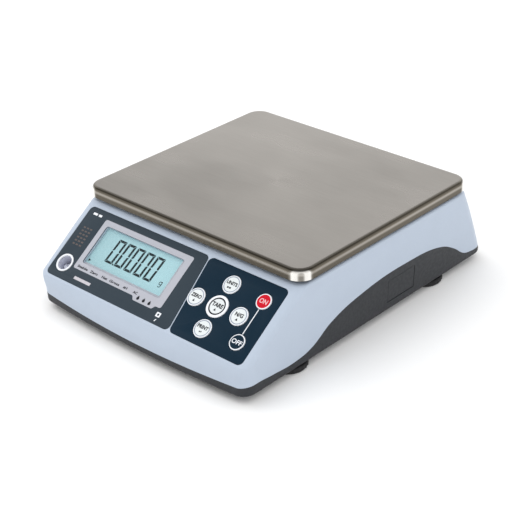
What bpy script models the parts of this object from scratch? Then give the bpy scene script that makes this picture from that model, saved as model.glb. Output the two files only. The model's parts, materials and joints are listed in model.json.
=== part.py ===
"""A bench-top counting scale: steel pan, load-cell weighing unit, two-part plastic housing, sloping front panel
with a display and seven keys, levelling feet.

Metres, +Z up. The scale stands on Z = 0 with its bounding box centred on X = 0 and Y = 0, and its panel faces -Y.
"""

import math

import bmesh
import bpy
from mathutils import Matrix, Vector

# Overall size
BODY_DEPTH = 0.361
PAN_TOP = 0.104
NOSE_Y = -BODY_DEPTH / 2
REAR_Y = BODY_DEPTH / 2
FLOOR_Z = 0.007
DECK_Z = 0.0890
DECK_ROUNDING, FLOOR_ROUNDING = 0.003, 0.0025

# Weighing pan
PAN_WIDTH, PAN_DEPTH, PAN_SKIRT = 0.279, 0.249, 0.0112
PAN_SHEET = 0.0012
PAN_CORNER = 0.0165
PAN_BEND = 0.0045
PAN_FRONT = NOSE_Y + 0.0740
PAN_MIDDLE = PAN_FRONT + PAN_DEPTH / 2

# Front panel: its upper edge, and its slope below horizontal
PANEL_TILT = math.radians(35.14)
PANEL_TOP_Y = PAN_FRONT - 0.0022
PANEL_TOP_Z = PAN_TOP - 0.0194
PANEL_LOW_Z = 0.038
NOSE_Z = 0.020
NOSE_BOW = 0.006
CREST_HEIGHT, CREST_SETBACK = 0.0011, 0.0019

# Housing shells
WALL = 0.0025
PANEL_WALL = 0.0028
GAP = 0.0003
BASE_HALF_WIDTH = 0.1335
FRONT_CORNER_LOW, FRONT_CORNER_HIGH, REAR_CORNER = 0.011, 0.009, 0.014
REAR_LEAN = math.radians(23.8)
REAR_WIDEST_Z = 0.0115
FORM_HEIGHTS = [FLOOR_Z, 0.0076, 0.0095, 0.0140, NOSE_Z, 0.0255, 0.0305, 0.0350, PANEL_LOW_Z, 0.0500, 0.0680]
FORM_HEIGHTS += [DECK_Z - DECK_ROUNDING, DECK_Z - CREST_HEIGHT, DECK_Z - 0.0004, DECK_Z]
HOLLOW_HEIGHTS = [FLOOR_Z + WALL, *FORM_HEIGHTS[3:11], DECK_Z - WALL]
DECK_OPENING_X, DECK_OPENING_FRONT, DECK_OPENING_REAR = 0.024, -0.056, -0.004

# The seam between the housings: (y, z) along each side, and (x, z) from a rear corner to the rear wall's middle
SIDE_SEAM = [(-0.20, 0.0040), (-0.1805, 0.0142), (-0.1725, 0.0176), (-0.160, 0.0186), (-0.140, 0.0170)]
SIDE_SEAM += [(-0.112, 0.0157), (-0.090, 0.0195), (-0.0628, 0.0347), (-0.0201, 0.0453), (0.045, 0.0492)]
SIDE_SEAM += [(0.1037, 0.0424), (0.126, 0.0312), (0.1458, 0.0178), (0.160, 0.0149), (0.20, 0.0149)]
REAR_SEAM = [(0.110, 0.0138), (0.099, 0.0153), (0.088, 0.0190), (0.076, 0.0330), (0.060, 0.0405)]
REAR_SEAM_MIDDLE_Z = 0.0415

# Panel pieces, measured along the slope from the panel's upper edge
OVERLAY_HALF_WIDTH, OVERLAY_LENGTH, OVERLAY_SHEET = 0.128, 0.079, 0.0007
OVERLAY_CORNER = 0.005
RIB_TOP_X, RIB_LOW_X, RIB_WIDTH = 0.0322, 0.0402, 0.0014
WINDOW_LEFT, WINDOW_RIGHT, WINDOW_TOP, WINDOW_LOW = -0.0955, 0.0100, 0.0130, 0.0555
LEVEL_X, LEVEL_U, LEVEL_RADIUS = -0.114, 0.063, 0.0095
LEVEL_BORE_RADIUS, LEVEL_CUP_RADIUS, LEVEL_CUP_LOW, LEVEL_CUP_HIGH = 0.0074, 0.0086, -0.0170, -0.0014
LEVEL_VIAL_RADIUS, LEVEL_VIAL_DEPTH = 0.0052, 0.0085
KEY_RISE, KEY_UNDERSIDE, KEY_EDGE = 0.0008, -0.0012, 0.0005
KEY_STEM_RADIUS, KEY_STEM_LOW = 0.0028, -0.0046
POCKET_FLOOR, POCKET_HOLE_RADIUS = -0.0018, 0.0034
KEYS = {
    "key_units": (0.0713, 0.0162, 0.0091),
    "key_zero": (0.0452, 0.0398, 0.0091),
    "key_tare": (0.0713, 0.0398, 0.0111),
    "key_net_gross": (0.0974, 0.0398, 0.0091),
    "key_print": (0.0713, 0.0634, 0.0091),
    "key_on": (0.1112, 0.0185, 0.0077),
    "key_off": (0.1112, 0.0612, 0.0077),
}

# Lowest and highest level of the display's and the keypad's layers, measured out of the panel
LENS_LEVELS, LCD_LEVELS, BACKLIGHT_LEVELS = (-0.0013, -GAP), (-0.0042, -0.0031), (-0.0075, -0.0045)
DISPLAY_BOARD_LEVELS, KEYPAD_BOARD_LEVELS = (-0.0094, -0.0078), (-0.0082, -0.0066)
LAYER_MARGIN = 0.004

# Weighing unit
CELL_LENGTH, CELL_WIDTH, CELL_HEIGHT = 0.130, 0.030, 0.022
CELL_LOW = 0.0306
BASE_PLATE_Z, BASE_PLATE_SHEET = 0.0101, 0.0020
SUPPORT_LOW, SUPPORT_HIGH = 0.0915, 0.0985
CUSHION_X, CUSHION_Y, CUSHION_RADIUS, CUSHION_LOW = 0.098, 0.083, 0.008, 0.0958
BOLT_RADIUS, BOLT_HOLE, BOLT_HEAD_RADIUS, BOLT_HEAD_HEIGHT = 0.003, 0.0034, 0.0059, 0.005
FIXED_BOLTS = (0.050, 0.070)
FREE_BOLTS = (-0.040, -0.020)

# Feet and fasteners
FOOT_X, FOOT_FRONT_Y, FOOT_REAR_Y = 0.116, -0.100, 0.103
FOOT_RADIUS, FOOT_HEIGHT = 0.019, 0.0066
STUD_RADIUS, STUD_TOP = 0.004, 0.0285
FOOT_BOSS_RADIUS, FOOT_BOSS_TOP = 0.008, 0.026
BOSS_LOW = 0.0080
COLUMN_RADIUS, COLUMN_LOW, COLUMN_HOLE_TOP = 0.0045, 0.0128, 0.034
SCREW_BOSS_RADIUS, SCREW_BOSS_TOP = 0.0060, 0.0125
SCREW_HOLE_RADIUS, SCREW_HEAD_HOLE_RADIUS, SCREW_HEAD_TOP = 0.0019, 0.0036, 0.0098
SCREW_PLACES = [(x, y) for y in (-0.070, 0.126) for x in (-0.100, 0.100)]
FOOT_PLACES = [(x, y) for y in (FOOT_FRONT_Y, FOOT_REAR_Y) for x in (-FOOT_X, FOOT_X)]
CORNERS = ("front_left", "front_right", "rear_left", "rear_right")

# Battery bay in the floor, and the blank cover in the right side
BATTERY_SIZE = (0.070, 0.101, 0.047)
BATTERY_MIDDLE = (0.083, 0.010)
DOOR_SIZE = (0.076, 0.108)
COVER_INSIDE_X, COVER_Y, COVER_Z = 0.1320, (0.020, 0.061), (0.0165, 0.0405)

# Sockets in the rear wall
PORT_Z = 0.028
JACK_X, JACK_HOLE_RADIUS = -0.045, 0.0056
SERIAL_HOLE = (0.0200, 0.0112)
SERIAL_FLANGE = (0.0310, 0.0126)
MAIN_BOARD_LOW, MAIN_BOARD_HIGH = (-0.075, -0.155, 0.0180), (0.060, -0.118, 0.0196)
SMOOTH_ANGLE = math.radians(35)
ROUND = 24


# --- scene and materials ---------------------------------------------------------------------------------------


def clear_scene():
    for old in list(bpy.data.objects):
        bpy.data.objects.remove(old)


def new_collection(name):
    made = bpy.data.collections.new(name)
    bpy.context.scene.collection.children.link(made)
    return made


def material(name, color, roughness, metallic=0.0):
    made = bpy.data.materials.get(name) or bpy.data.materials.new(name)
    made.use_nodes = True
    shader = made.node_tree.nodes["Principled BSDF"]
    shader.inputs["Base Color"].default_value = (*color, 1)
    shader.inputs["Roughness"].default_value = roughness
    shader.inputs["Metallic"].default_value = metallic
    made.diffuse_color = (*color, 1)
    return made


def light_plastic():
    return material("light_housing_plastic", (0.50, 0.57, 0.68), 0.45)


def dark_plastic():
    return material("dark_housing_plastic", (0.045, 0.055, 0.065), 0.5)


def steel():
    return material("brushed_steel", (0.42, 0.39, 0.36), 0.35, 1)


def zinc():
    return material("zinc_plated_steel", (0.62, 0.62, 0.60), 0.35, 1)


def aluminium():
    return material("aluminium", (0.70, 0.71, 0.72), 0.4, 1)


def rubber():
    return material("black_rubber", (0.02, 0.02, 0.02), 0.8)


def circuit_board():
    return material("circuit_board", (0.03, 0.16, 0.08), 0.5)


# --- shape helpers ---------------------------------------------------------------------------------------------


def add_mesh(name, bm, matrix=None):
    """Turns a bmesh into a new object, which isn't in any collection yet."""
    bmesh.ops.recalc_face_normals(bm, faces=bm.faces)
    mesh = bpy.data.meshes.new(name)
    bm.to_mesh(mesh)
    bm.free()
    made = bpy.data.objects.new(name, mesh)
    if matrix:
        made.matrix_world = matrix
    return made


def box(name, size, middle, matrix=None):
    bm = bmesh.new()
    bmesh.ops.create_cube(bm, size=1, matrix=Matrix.Translation(middle) @ Matrix.Diagonal((*size, 1)))
    return add_mesh(name, bm, matrix)


def box_between(name, low, high, matrix=None):
    low, high = Vector(low), Vector(high)
    return box(name, high - low, (low + high) / 2, matrix)


def cylinder(name, radius, low, high, place, matrix=None, steps=ROUND):
    """A cylinder along Z from low to high, over the point place = (x, y)."""
    bm = bmesh.new()
    middle = Matrix.Translation((*place, (low + high) / 2))
    bmesh.ops.create_cone(
        bm, cap_ends=True, segments=steps, radius1=radius, radius2=radius, depth=high - low, matrix=middle
    )
    return add_mesh(name, bm, matrix)


def turned(name, profile, place=(0, 0), matrix=None, steps=ROUND):
    """A solid turned about Z. The profile's (radius, height) points run from the axis at the top, down the outside,
    to the axis at the bottom."""
    bm = bmesh.new()
    points = [bm.verts.new((radius, 0, height)) for radius, height in profile]
    for upper, lower in zip(points, points[1:]):
        bm.edges.new((upper, lower))
    mesh = bpy.data.meshes.new(name)
    bm.to_mesh(mesh)
    bm.free()
    made = bpy.data.objects.new(name, mesh)
    made.matrix_world = (matrix or Matrix()) @ Matrix.Translation((*place, 0))
    screw = made.modifiers.new("turn", "SCREW")
    screw.steps = screw.render_steps = steps
    screw.use_merge_vertices = True
    screw.merge_threshold = 0.00001
    return made


def loft(name, rings, closed=True):
    """Faces between rings of points, with a flat cap at the last ring and, when closed, at the first."""
    bm = bmesh.new()
    loops = [[bm.verts.new(point) for point in ring] for ring in rings]
    for lower, upper in zip(loops, loops[1:]):
        for index in range(len(lower)):
            after = (index + 1) % len(lower)
            bm.faces.new((lower[index], lower[after], upper[after], upper[index]))
    bm.faces.new(loops[-1])
    if closed:
        bm.faces.new(reversed(loops[0]))
    return add_mesh(name, bm)


def evaluated_mesh(obj):
    """The object's mesh as its curve settings and modifiers make it, with its loose caps welded."""
    graph = bpy.context.evaluated_depsgraph_get()
    mesh = bpy.data.meshes.new_from_object(obj.evaluated_get(graph))
    bm = bmesh.new()
    bm.from_mesh(mesh)
    bmesh.ops.remove_doubles(bm, verts=bm.verts, dist=0.00001)
    bmesh.ops.recalc_face_normals(bm, faces=bm.faces)
    bm.to_mesh(mesh)
    bm.free()
    return mesh


def plate(name, loops, low, high, matrix, smooth=False):
    """A flat outline, with any holes, filled and extruded from low to high along the matrix's Z. A smooth outline
    runs through its points, apart from its first and last two, which are corners."""
    curve = bpy.data.curves.new(name, "CURVE")
    curve.dimensions = "2D"
    curve.fill_mode = "BOTH"
    curve.extrude = (high - low) / 2
    curve.resolution_u = 5
    for points in loops:
        if smooth:
            spline = curve.splines.new("BEZIER")
            spline.bezier_points.add(len(points) - 1)
            for index, (knot, point) in enumerate(zip(spline.bezier_points, points)):
                knot.co = (*point, 0)
                corner = index < 2 or index >= len(points) - 2
                knot.handle_left_type = knot.handle_right_type = "VECTOR" if corner else "AUTO"
        else:
            spline = curve.splines.new("POLY")
            spline.points.add(len(points) - 1)
            for knot, point in zip(spline.points, points):
                knot.co = (*point, 0, 1)
        spline.use_cyclic_u = True
    guide = bpy.data.objects.new(name, curve)
    bpy.context.scene.collection.objects.link(guide)
    bpy.context.view_layer.update()
    mesh = evaluated_mesh(guide)
    bpy.data.objects.remove(guide)
    made = bpy.data.objects.new(name, mesh)
    made.matrix_world = matrix @ Matrix.Translation((0, 0, (low + high) / 2))
    return made


def arc(middle, radius, start, end, steps):
    """Points along an arc, its ends included. Angles are in degrees."""
    angles = [math.radians(start + (end - start) * step / steps) for step in range(steps + 1)]
    return [(middle[0] + radius * math.cos(angle), middle[1] + radius * math.sin(angle)) for angle in angles]


def rounded_outline(corners, radius, steps=4):
    """A convex outline through the corners, given anticlockwise, each one rounded to the radius."""
    points = []
    count = len(corners)
    for index in range(count):
        here = Vector(corners[index])
        back = (Vector(corners[index - 1]) - here).normalized()
        ahead = (Vector(corners[(index + 1) % count]) - here).normalized()
        half = back.angle(ahead) / 2
        middle = here + (back + ahead).normalized() * radius / math.sin(half)
        start = here + back * radius / math.tan(half) - middle
        turn = math.pi - 2 * half
        for step in range(steps + 1):
            angle = turn * step / steps
            cos, sin = math.cos(angle), math.sin(angle)
            points.append((middle.x + start.x * cos - start.y * sin, middle.y + start.x * sin + start.y * cos))
    return points


def rectangle(left, right, low, high):
    return [(left, low), (right, low), (right, high), (left, high)]


def panel_matrix():
    """Local X across the panel, local -Y down its slope, local Z out of it. The origin is on its upper edge."""
    return Matrix.Translation((0, PANEL_TOP_Y, PANEL_TOP_Z)) @ Matrix.Rotation(PANEL_TILT, 4, "X")


def side_matrix():
    """Local X along the scale's Y, local Y up, local Z along the scale's X."""
    return Matrix(((0, 0, 1, 0), (1, 0, 0, 0), (0, 1, 0, 0), (0, 0, 0, 1)))


def rear_matrix():
    """Local X to the scale's left, local Y up the leaning rear wall, local Z out of it, at the sockets' height."""
    y = REAR_Y - (PORT_Z - REAR_WIDEST_Z) * math.tan(REAR_LEAN)
    turn = Matrix.Rotation(math.pi, 4, "Z") @ Matrix.Rotation(math.pi / 2 - REAR_LEAN, 4, "X")
    return Matrix.Translation((0, y, PORT_Z)) @ turn


class Assembly:
    """Holds the scale's collection and its cutters' collection, and adds objects to them."""

    def __init__(self):
        self.parts = new_collection("counting_scale")
        self.cutters = new_collection("cutters")

    def part(self, obj, look):
        self.parts.objects.link(obj)
        obj.data.materials.clear()
        obj.data.materials.append(look)
        obj.data.shade_smooth()
        obj.data.set_sharp_from_angle(angle=SMOOTH_ANGLE)
        return obj

    def cutter(self, obj):
        self.cutters.objects.link(obj)
        obj.hide_render = True
        obj.display_type = "WIRE"
        return obj

    def change(self, obj, other, operation="DIFFERENCE"):
        """Cuts obj by other, or joins or intersects it with other."""
        if other.name not in self.cutters.objects:
            self.cutter(other)
        boolean = obj.modifiers.new(other.name, "BOOLEAN")
        boolean.operation = operation
        boolean.object = other
        return obj

    def join(self, obj, others):
        for other in others:
            self.change(obj, other, "UNION")
        return obj


# --- the housing's outer form ----------------------------------------------------------------------------------


def blend(value, low, high):
    """0 at low, 1 at high, and a smooth step between."""
    share = min(max((value - low) / (high - low), 0), 1)
    return share * share * (3 - 2 * share)


def edge_rounding(z):
    """How far the outline draws in near the floor's and the deck's edges."""
    low = max(0, FLOOR_Z + FLOOR_ROUNDING - z)
    high = max(0, z - (DECK_Z - DECK_ROUNDING))
    deck = DECK_ROUNDING - math.sqrt(max(DECK_ROUNDING**2 - high**2, 0))
    return FLOOR_ROUNDING - math.sqrt(max(FLOOR_ROUNDING**2 - low**2, 0)) + deck


def half_width(z):
    """The sides lean out from the base to just below the deck."""
    lean = 0.0025 * blend(z, -0.01, 0.040) + 0.0015 * blend(z, 0.03, 0.075)
    return BASE_HALF_WIDTH + lean - edge_rounding(z)


def front_y(z):
    """The flat sloping panel, and the round nose under it."""
    if z >= PANEL_LOW_Z:
        crest = max(z - (DECK_Z - CREST_HEIGHT), 0) / CREST_HEIGHT
        return PANEL_TOP_Y - (PANEL_TOP_Z - z) / math.tan(PANEL_TILT) + CREST_SETBACK * crest**2
    low_edge = front_y(PANEL_LOW_Z)
    share = min((PANEL_LOW_Z - z) / (PANEL_LOW_Z - NOSE_Z), 1)
    rounding = edge_rounding(z) if z < NOSE_Z else 0
    return low_edge + (NOSE_Y - low_edge) * math.sin(share * math.pi / 2) + rounding


def rear_y(z):
    upper_curve = 0.0015 * blend(z, 0.045, 0.095)
    return REAR_Y - max(z - REAR_WIDEST_Z, 0) * math.tan(REAR_LEAN) - upper_curve - edge_rounding(z)


def section(z, inset=0.0, front_inset=0.0):
    """The housing's outline at height z, anticlockwise from the middle of the front, drawn in by the insets."""
    half = half_width(z) - inset
    front = front_y(z) + front_inset
    rear = rear_y(z) - inset
    low = 1 - blend(z, NOSE_Z, 0.045)
    front_corner = FRONT_CORNER_HIGH + (FRONT_CORNER_LOW - FRONT_CORNER_HIGH) * low - inset / 2
    rear_corner = REAR_CORNER - inset
    right = [(half * x, front) for x in (0, 0.3, 0.6)]
    right += arc((half - front_corner, front + front_corner), front_corner, -90, 0, 5)
    right += arc((half - rear_corner, rear - rear_corner), rear_corner, 0, 90, 4)
    left = [(-x, y) for x, y in reversed(right[1:])]
    bow = NOSE_BOW * (1 - blend(z, NOSE_Z, PANEL_LOW_Z))
    middle_y = (front + rear) / 2
    return [(x, y + (bow * (x / half) ** 2 if y < middle_y else 0), z) for x, y in right + left]


def housing_form(name):
    return loft(name, [section(z) for z in FORM_HEIGHTS])


def housing_hollow(name):
    return loft(name, [section(z, WALL, PANEL_WALL / math.sin(PANEL_TILT)) for z in HOLLOW_HEIGHTS])


def seam_region(assembly, name, drop):
    """Everything below the seam between the two housings. The seam is low at the front and rear corners, and arches
    up along both sides and across the rear."""
    outline = [(0.20, -0.01), (-0.20, -0.01)] + [(y, z - drop) for y, z in SIDE_SEAM]
    region = plate(name, [outline], -0.2, 0.2, side_matrix(), smooth=True)
    arch = [(-x, z - drop) for x, z in REAR_SEAM] + [(0, REAR_SEAM_MIDDLE_Z - drop)]
    arch += [(x, z - drop) for x, z in REAR_SEAM[::-1]]
    edge = REAR_SEAM[0][0]
    arch = [(-edge, -0.009), (-edge, 0.0)] + arch + [(edge, 0.0), (edge, -0.009)]
    upright = Matrix.Rotation(math.pi / 2, 4, "X")
    rear = plate(name + "_rear_arch", [arch[::-1]], -0.22, -0.125, upright, smooth=True)
    assembly.cutter(region)
    assembly.change(region, rear, "UNION")
    return region


# --- housings --------------------------------------------------------------------------------------------------


def overlay_corners(left, inset=0.0):
    """The corners of the display's or the keypad's overlay on the panel, anticlockwise, drawn in by the inset."""
    edge, side = OVERLAY_HALF_WIDTH - inset, RIB_WIDTH / 2 + inset
    top, low = -inset, -(OVERLAY_LENGTH - inset)
    if left:
        return [(-edge, low), (RIB_LOW_X - side, low), (RIB_TOP_X - side, top), (-edge, top)]
    return [(RIB_LOW_X + side, low), (edge, low), (edge, top), (RIB_TOP_X + side, top)]


def window_outline(inset=0.0):
    corners = rectangle(WINDOW_LEFT + inset, WINDOW_RIGHT - inset, -WINDOW_LOW + inset, -WINDOW_TOP - inset)
    return rounded_outline(corners, 0.0025 - inset, 3)


def key_pocket(name, x, u, radius):
    """A round pocket for the key's cap, with a hole in its floor for the key's stem."""
    profile = [(0, 0.003), (radius, 0.003), (radius, POCKET_FLOOR), (POCKET_HOLE_RADIUS, POCKET_FLOOR)]
    profile += [(POCKET_HOLE_RADIUS, -0.006), (0, -0.006)]
    return turned(name, profile, (x, -u), panel_matrix(), 20)


def make_upper_housing(assembly):
    upper = assembly.part(housing_form("upper_housing"), light_plastic())
    assembly.change(upper, seam_region(assembly, "below_seam", 0))
    assembly.change(upper, housing_hollow("upper_hollow"))
    for index, (x, y) in enumerate(SCREW_PLACES):
        column = cylinder(f"column_{index}", COLUMN_RADIUS, COLUMN_LOW, DECK_Z - 0.001, (x, y), steps=16)
        assembly.change(upper, column, "UNION")
        hole = cylinder(f"column_hole_{index}", SCREW_HOLE_RADIUS, 0.010, COLUMN_HOLE_TOP, (x, y), steps=12)
        assembly.change(upper, hole)
    recess_low = -OVERLAY_SHEET - GAP
    for left, name in ((True, "window_recess"), (False, "keypad_recess")):
        outline = rounded_outline(overlay_corners(left, -GAP), OVERLAY_CORNER + GAP)
        assembly.change(upper, plate(name, [outline], recess_low, 0.002, panel_matrix()))
    assembly.change(upper, plate("window_opening", [window_outline()], -0.006, 0.003, panel_matrix()))
    hole_radius = LEVEL_CUP_RADIUS + GAP
    assembly.change(upper, cylinder("level_hole", hole_radius, -0.008, 0.003, (LEVEL_X, -LEVEL_U), panel_matrix()))
    for key, (x, u, radius) in KEYS.items():
        assembly.change(upper, key_pocket(key + "_pocket", x, u, radius + 0.0005))
    low, high = (-DECK_OPENING_X, DECK_OPENING_FRONT, 0.075), (DECK_OPENING_X, DECK_OPENING_REAR, 0.1)
    assembly.change(upper, box_between("deck_opening", low, high))
    return upper


def cover_block(name, inset):
    low = (COVER_INSIDE_X, COVER_Y[0] + inset, COVER_Z[0] + inset)
    return box_between(name, low, (0.15, COVER_Y[1] - inset, COVER_Z[1] - inset))


def door_block(name, inset, low, high):
    half_x, half_y = DOOR_SIZE[0] / 2 - inset, DOOR_SIZE[1] / 2 - inset
    x, y = BATTERY_MIDDLE
    return box_between(name, (x - half_x, y - half_y, low), (x + half_x, y + half_y, high))


def make_lower_housing(assembly):
    lower = assembly.part(housing_form("lower_housing"), dark_plastic())
    assembly.change(lower, seam_region(assembly, "seam_and_below", GAP), "INTERSECT")
    assembly.change(lower, housing_hollow("lower_hollow"))
    for index, (x, y) in enumerate(FOOT_PLACES):
        boss = cylinder(f"foot_boss_{index}", FOOT_BOSS_RADIUS, BOSS_LOW, FOOT_BOSS_TOP, (x, y), steps=20)
        assembly.change(lower, boss, "UNION")
        hole = cylinder(f"foot_hole_{index}", STUD_RADIUS + 0.0004, 0.0, 0.040, (x, y), steps=20)
        assembly.change(lower, hole)
    for index, (x, y) in enumerate(SCREW_PLACES):
        boss = cylinder(f"screw_boss_{index}", SCREW_BOSS_RADIUS, BOSS_LOW, SCREW_BOSS_TOP, (x, y), steps=16)
        assembly.change(lower, boss, "UNION")
        hole = [(0, 0.020), (SCREW_HOLE_RADIUS, 0.020), (SCREW_HOLE_RADIUS, SCREW_HEAD_TOP)]
        hole += [(SCREW_HEAD_HOLE_RADIUS, SCREW_HEAD_TOP), (SCREW_HEAD_HOLE_RADIUS, 0.004), (0, 0.004)]
        assembly.change(lower, turned(f"screw_hole_{index}", hole, (x, y), steps=12))
    assembly.change(lower, door_block("battery_opening", 0, 0.0, 0.02))
    window = box_between("cover_window", (0.12, COVER_Y[0], COVER_Z[0]), (0.15, COVER_Y[1], COVER_Z[1]))
    assembly.change(lower, window)
    assembly.change(lower, cylinder("jack_hole", JACK_HOLE_RADIUS, -0.02, 0.02, (-JACK_X, 0), rear_matrix(), 20))
    assembly.change(lower, box("serial_hole", (*SERIAL_HOLE, 0.04), (0, 0, 0), rear_matrix()))
    return lower


def make_side_cover(assembly):
    """A blank plate in the right side, which carries on the housing's own surface."""
    cover = assembly.part(housing_form("side_cover"), dark_plastic())
    assembly.change(cover, cover_block("cover_limits", GAP), "INTERSECT")


def make_battery_door(assembly):
    """The door fills its opening in the floor, and its hinge axis is along its rear edge."""
    door = door_block("battery_door", 0.0004, FLOOR_Z + 0.0002, FLOOR_Z + 0.0022)
    assembly.part(door, dark_plastic())


# --- the front panel -------------------------------------------------------------------------------------------


def make_overlays(assembly):
    level_hole = arc((LEVEL_X, -LEVEL_U), LEVEL_RADIUS + GAP, 0, 345, 23)
    loops = [rounded_outline(overlay_corners(True), OVERLAY_CORNER), window_outline(), level_hole]
    window = plate("display_window", loops, -OVERLAY_SHEET, 0, panel_matrix())
    assembly.part(window, material("window_print", (0.048, 0.068, 0.088), 0.3))
    loops = [rounded_outline(overlay_corners(False), OVERLAY_CORNER)]
    loops += [arc((x, -u), radius + GAP, 0, 345, 23) for x, u, radius in KEYS.values()]
    keypad = plate("keypad_overlay", loops, -OVERLAY_SHEET, 0, panel_matrix())
    assembly.part(keypad, material("keypad_print", (0.016, 0.032, 0.061), 0.35))


def make_display(assembly):
    lens = plate("display_lens", [window_outline(GAP)], *LENS_LEVELS, panel_matrix())
    assembly.part(lens, material("clear_lens", (0.75, 0.85, 0.87), 0.05))
    frame = panel_matrix()
    layers = (
        ("lcd_glass", LAYER_MARGIN, LCD_LEVELS, material("lcd_glass", (0.41, 0.68, 0.73), 0.15)),
        ("lcd_backlight", LAYER_MARGIN - 0.001, BACKLIGHT_LEVELS, material("light_guide", (0.85, 0.88, 0.88), 0.3)),
        ("display_board", LAYER_MARGIN + 0.003, DISPLAY_BOARD_LEVELS, circuit_board()),
    )
    for name, margin, (deep, shallow), look in layers:
        low_corner = (WINDOW_LEFT - margin, -WINDOW_LOW - margin, deep)
        high_corner = (WINDOW_RIGHT + margin, -WINDOW_TOP + margin, shallow)
        assembly.part(box_between(name, low_corner, high_corner, frame), look)


def make_keys(assembly):
    looks = {"key_on": (0.58, 0.004, 0.022), "key_off": (0.016, 0.032, 0.061)}
    for name, (x, u, radius) in KEYS.items():
        profile = [(0, KEY_RISE), (radius - KEY_EDGE, KEY_RISE), (radius, KEY_RISE - KEY_EDGE)]
        profile += [(radius, KEY_UNDERSIDE), (KEY_STEM_RADIUS, KEY_UNDERSIDE), (KEY_STEM_RADIUS, KEY_STEM_LOW)]
        profile.append((0, KEY_STEM_LOW))
        key = turned(name, profile, (x, -u), panel_matrix(), 20)
        assembly.part(key, material(name, looks.get(name, (0.80, 0.82, 0.84)), 0.4))


def make_keypad_board(assembly):
    low, high = (0.0375, -0.0745, KEYPAD_BOARD_LEVELS[0]), (0.1235, -0.0065, KEYPAD_BOARD_LEVELS[1])
    board = assembly.part(box_between("keypad_board", low, high, panel_matrix()), circuit_board())
    for name, (x, u, _) in KEYS.items():
        switch = box(name + "_switch", (0.006, 0.006, 0.002), (x, -u, -0.0063), panel_matrix())
        assembly.change(board, switch, "UNION")


def make_level(assembly):
    """A cup set square to the panel, with a level floor for the bubble vial, and a ring round its mouth."""
    frame, place = panel_matrix(), (LEVEL_X, -LEVEL_U)
    radius = LEVEL_RADIUS
    ring_loops = [arc(place, radius, 0, 345, 23), arc(place, 0.0076, 0, 345, 23)]
    ring = plate("level_ring", ring_loops, -OVERLAY_SHEET, 0.0006, frame)
    assembly.part(ring, material("white_plastic", (0.80, 0.82, 0.84), 0.4))
    cup = cylinder("level_cup", LEVEL_CUP_RADIUS, LEVEL_CUP_LOW, LEVEL_CUP_HIGH, place, frame)
    assembly.part(cup, material("grey_plastic", (0.42, 0.45, 0.50), 0.5))
    middle = frame @ Vector((*place, -LEVEL_VIAL_DEPTH))
    bore = assembly.cutter(cylinder("level_bore", LEVEL_BORE_RADIUS, LEVEL_CUP_LOW + 0.001, 0.002, place, frame))
    floor = box("level_floor", (0.03, 0.03, 0.02), (middle.x, middle.y, middle.z - 0.0135))
    assembly.change(bore, floor)
    assembly.change(cup, bore)
    profile = [(0, 0.0021), (0.0045, 0.0021), (LEVEL_VIAL_RADIUS, 0.0014), (LEVEL_VIAL_RADIUS, -0.0032), (0, -0.0032)]
    vial = turned("level_vial", profile, (0, 0), Matrix.Translation(middle))
    assembly.part(vial, material("level_vial", (0.62, 0.64, 0.74), 0.1))


# --- weighing unit ---------------------------------------------------------------------------------------------


def make_pan(assembly):
    """A pressed steel tray, upside down over its support."""
    half_x, half_y = PAN_WIDTH / 2, PAN_DEPTH / 2
    levels = [(0, PAN_TOP - PAN_SKIRT)]
    for angle in (0, 30, 60, 90):
        turn = math.radians(angle)
        levels.append((PAN_BEND * (1 - math.cos(turn)), PAN_TOP - PAN_BEND * (1 - math.sin(turn))))
    rings = []
    for inset, z in levels:
        corners = rectangle(-half_x + inset, half_x - inset, -half_y + inset, half_y - inset)
        outline = rounded_outline(corners, PAN_CORNER - inset, 6)
        rings.append([(x, y + PAN_MIDDLE, z) for x, y in outline])
    pan = assembly.part(loft("weighing_pan", rings, closed=False), steel())
    sheet = pan.modifiers.new("sheet", "SOLIDIFY")
    sheet.thickness = PAN_SHEET
    sheet.offset = -1
    sheet.use_even_offset = True


def make_support(assembly):
    """A cast cross whose hub is bolted to the load cell's free end, with a pad for each of the pan's cushions."""
    hub_low, hub_high = (-0.022, PAN_MIDDLE - 0.070, SUPPORT_LOW), (0.022, PAN_MIDDLE + 0.030, SUPPORT_HIGH - 0.003)
    support = assembly.part(box_between("pan_support", hub_low, hub_high), aluminium())
    middle = Matrix.Translation((0, PAN_MIDDLE, (SUPPORT_LOW + SUPPORT_HIGH) / 2))
    length = 2 * math.hypot(CUSHION_X, CUSHION_Y)
    lean = math.atan2(CUSHION_Y, CUSHION_X)
    for name, angle in (("arm_a", lean), ("arm_b", -lean)):
        turned_middle = middle @ Matrix.Rotation(angle, 4, "Z")
        arm = box(name, (length, 0.016, SUPPORT_HIGH - SUPPORT_LOW), (0, 0, 0), turned_middle)
        assembly.change(support, arm, "UNION")
    for index, (x, y) in enumerate(cushion_places()):
        pad = cylinder(f"arm_pad_{index}", 0.0125, SUPPORT_LOW - 0.0005, SUPPORT_HIGH + 0.0005, (x, y), steps=20)
        assembly.change(support, pad, "UNION")
        recess = cylinder(f"pad_recess_{index}", CUSHION_RADIUS + GAP, CUSHION_LOW - GAP, 0.11, (x, y), steps=20)
        assembly.change(support, recess)
    for index, y in enumerate(FREE_BOLTS):
        assembly.change(support, cylinder(f"support_hole_{index}", BOLT_HOLE, 0.08, 0.11, (0, y), steps=16))


def cushion_places():
    return [(x, PAN_MIDDLE + y) for y in (-CUSHION_Y, CUSHION_Y) for x in (-CUSHION_X, CUSHION_X)]


def make_cushions(assembly):
    for corner, place in zip(CORNERS, cushion_places()):
        top, edge = PAN_TOP - PAN_SHEET - GAP, 0.001
        profile = [(0, top), (CUSHION_RADIUS - edge, top), (CUSHION_RADIUS, top - edge)]
        profile += [(CUSHION_RADIUS, CUSHION_LOW), (0, CUSHION_LOW)]
        assembly.part(turned("pan_cushion_" + corner, profile, place, steps=20), rubber())


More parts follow.
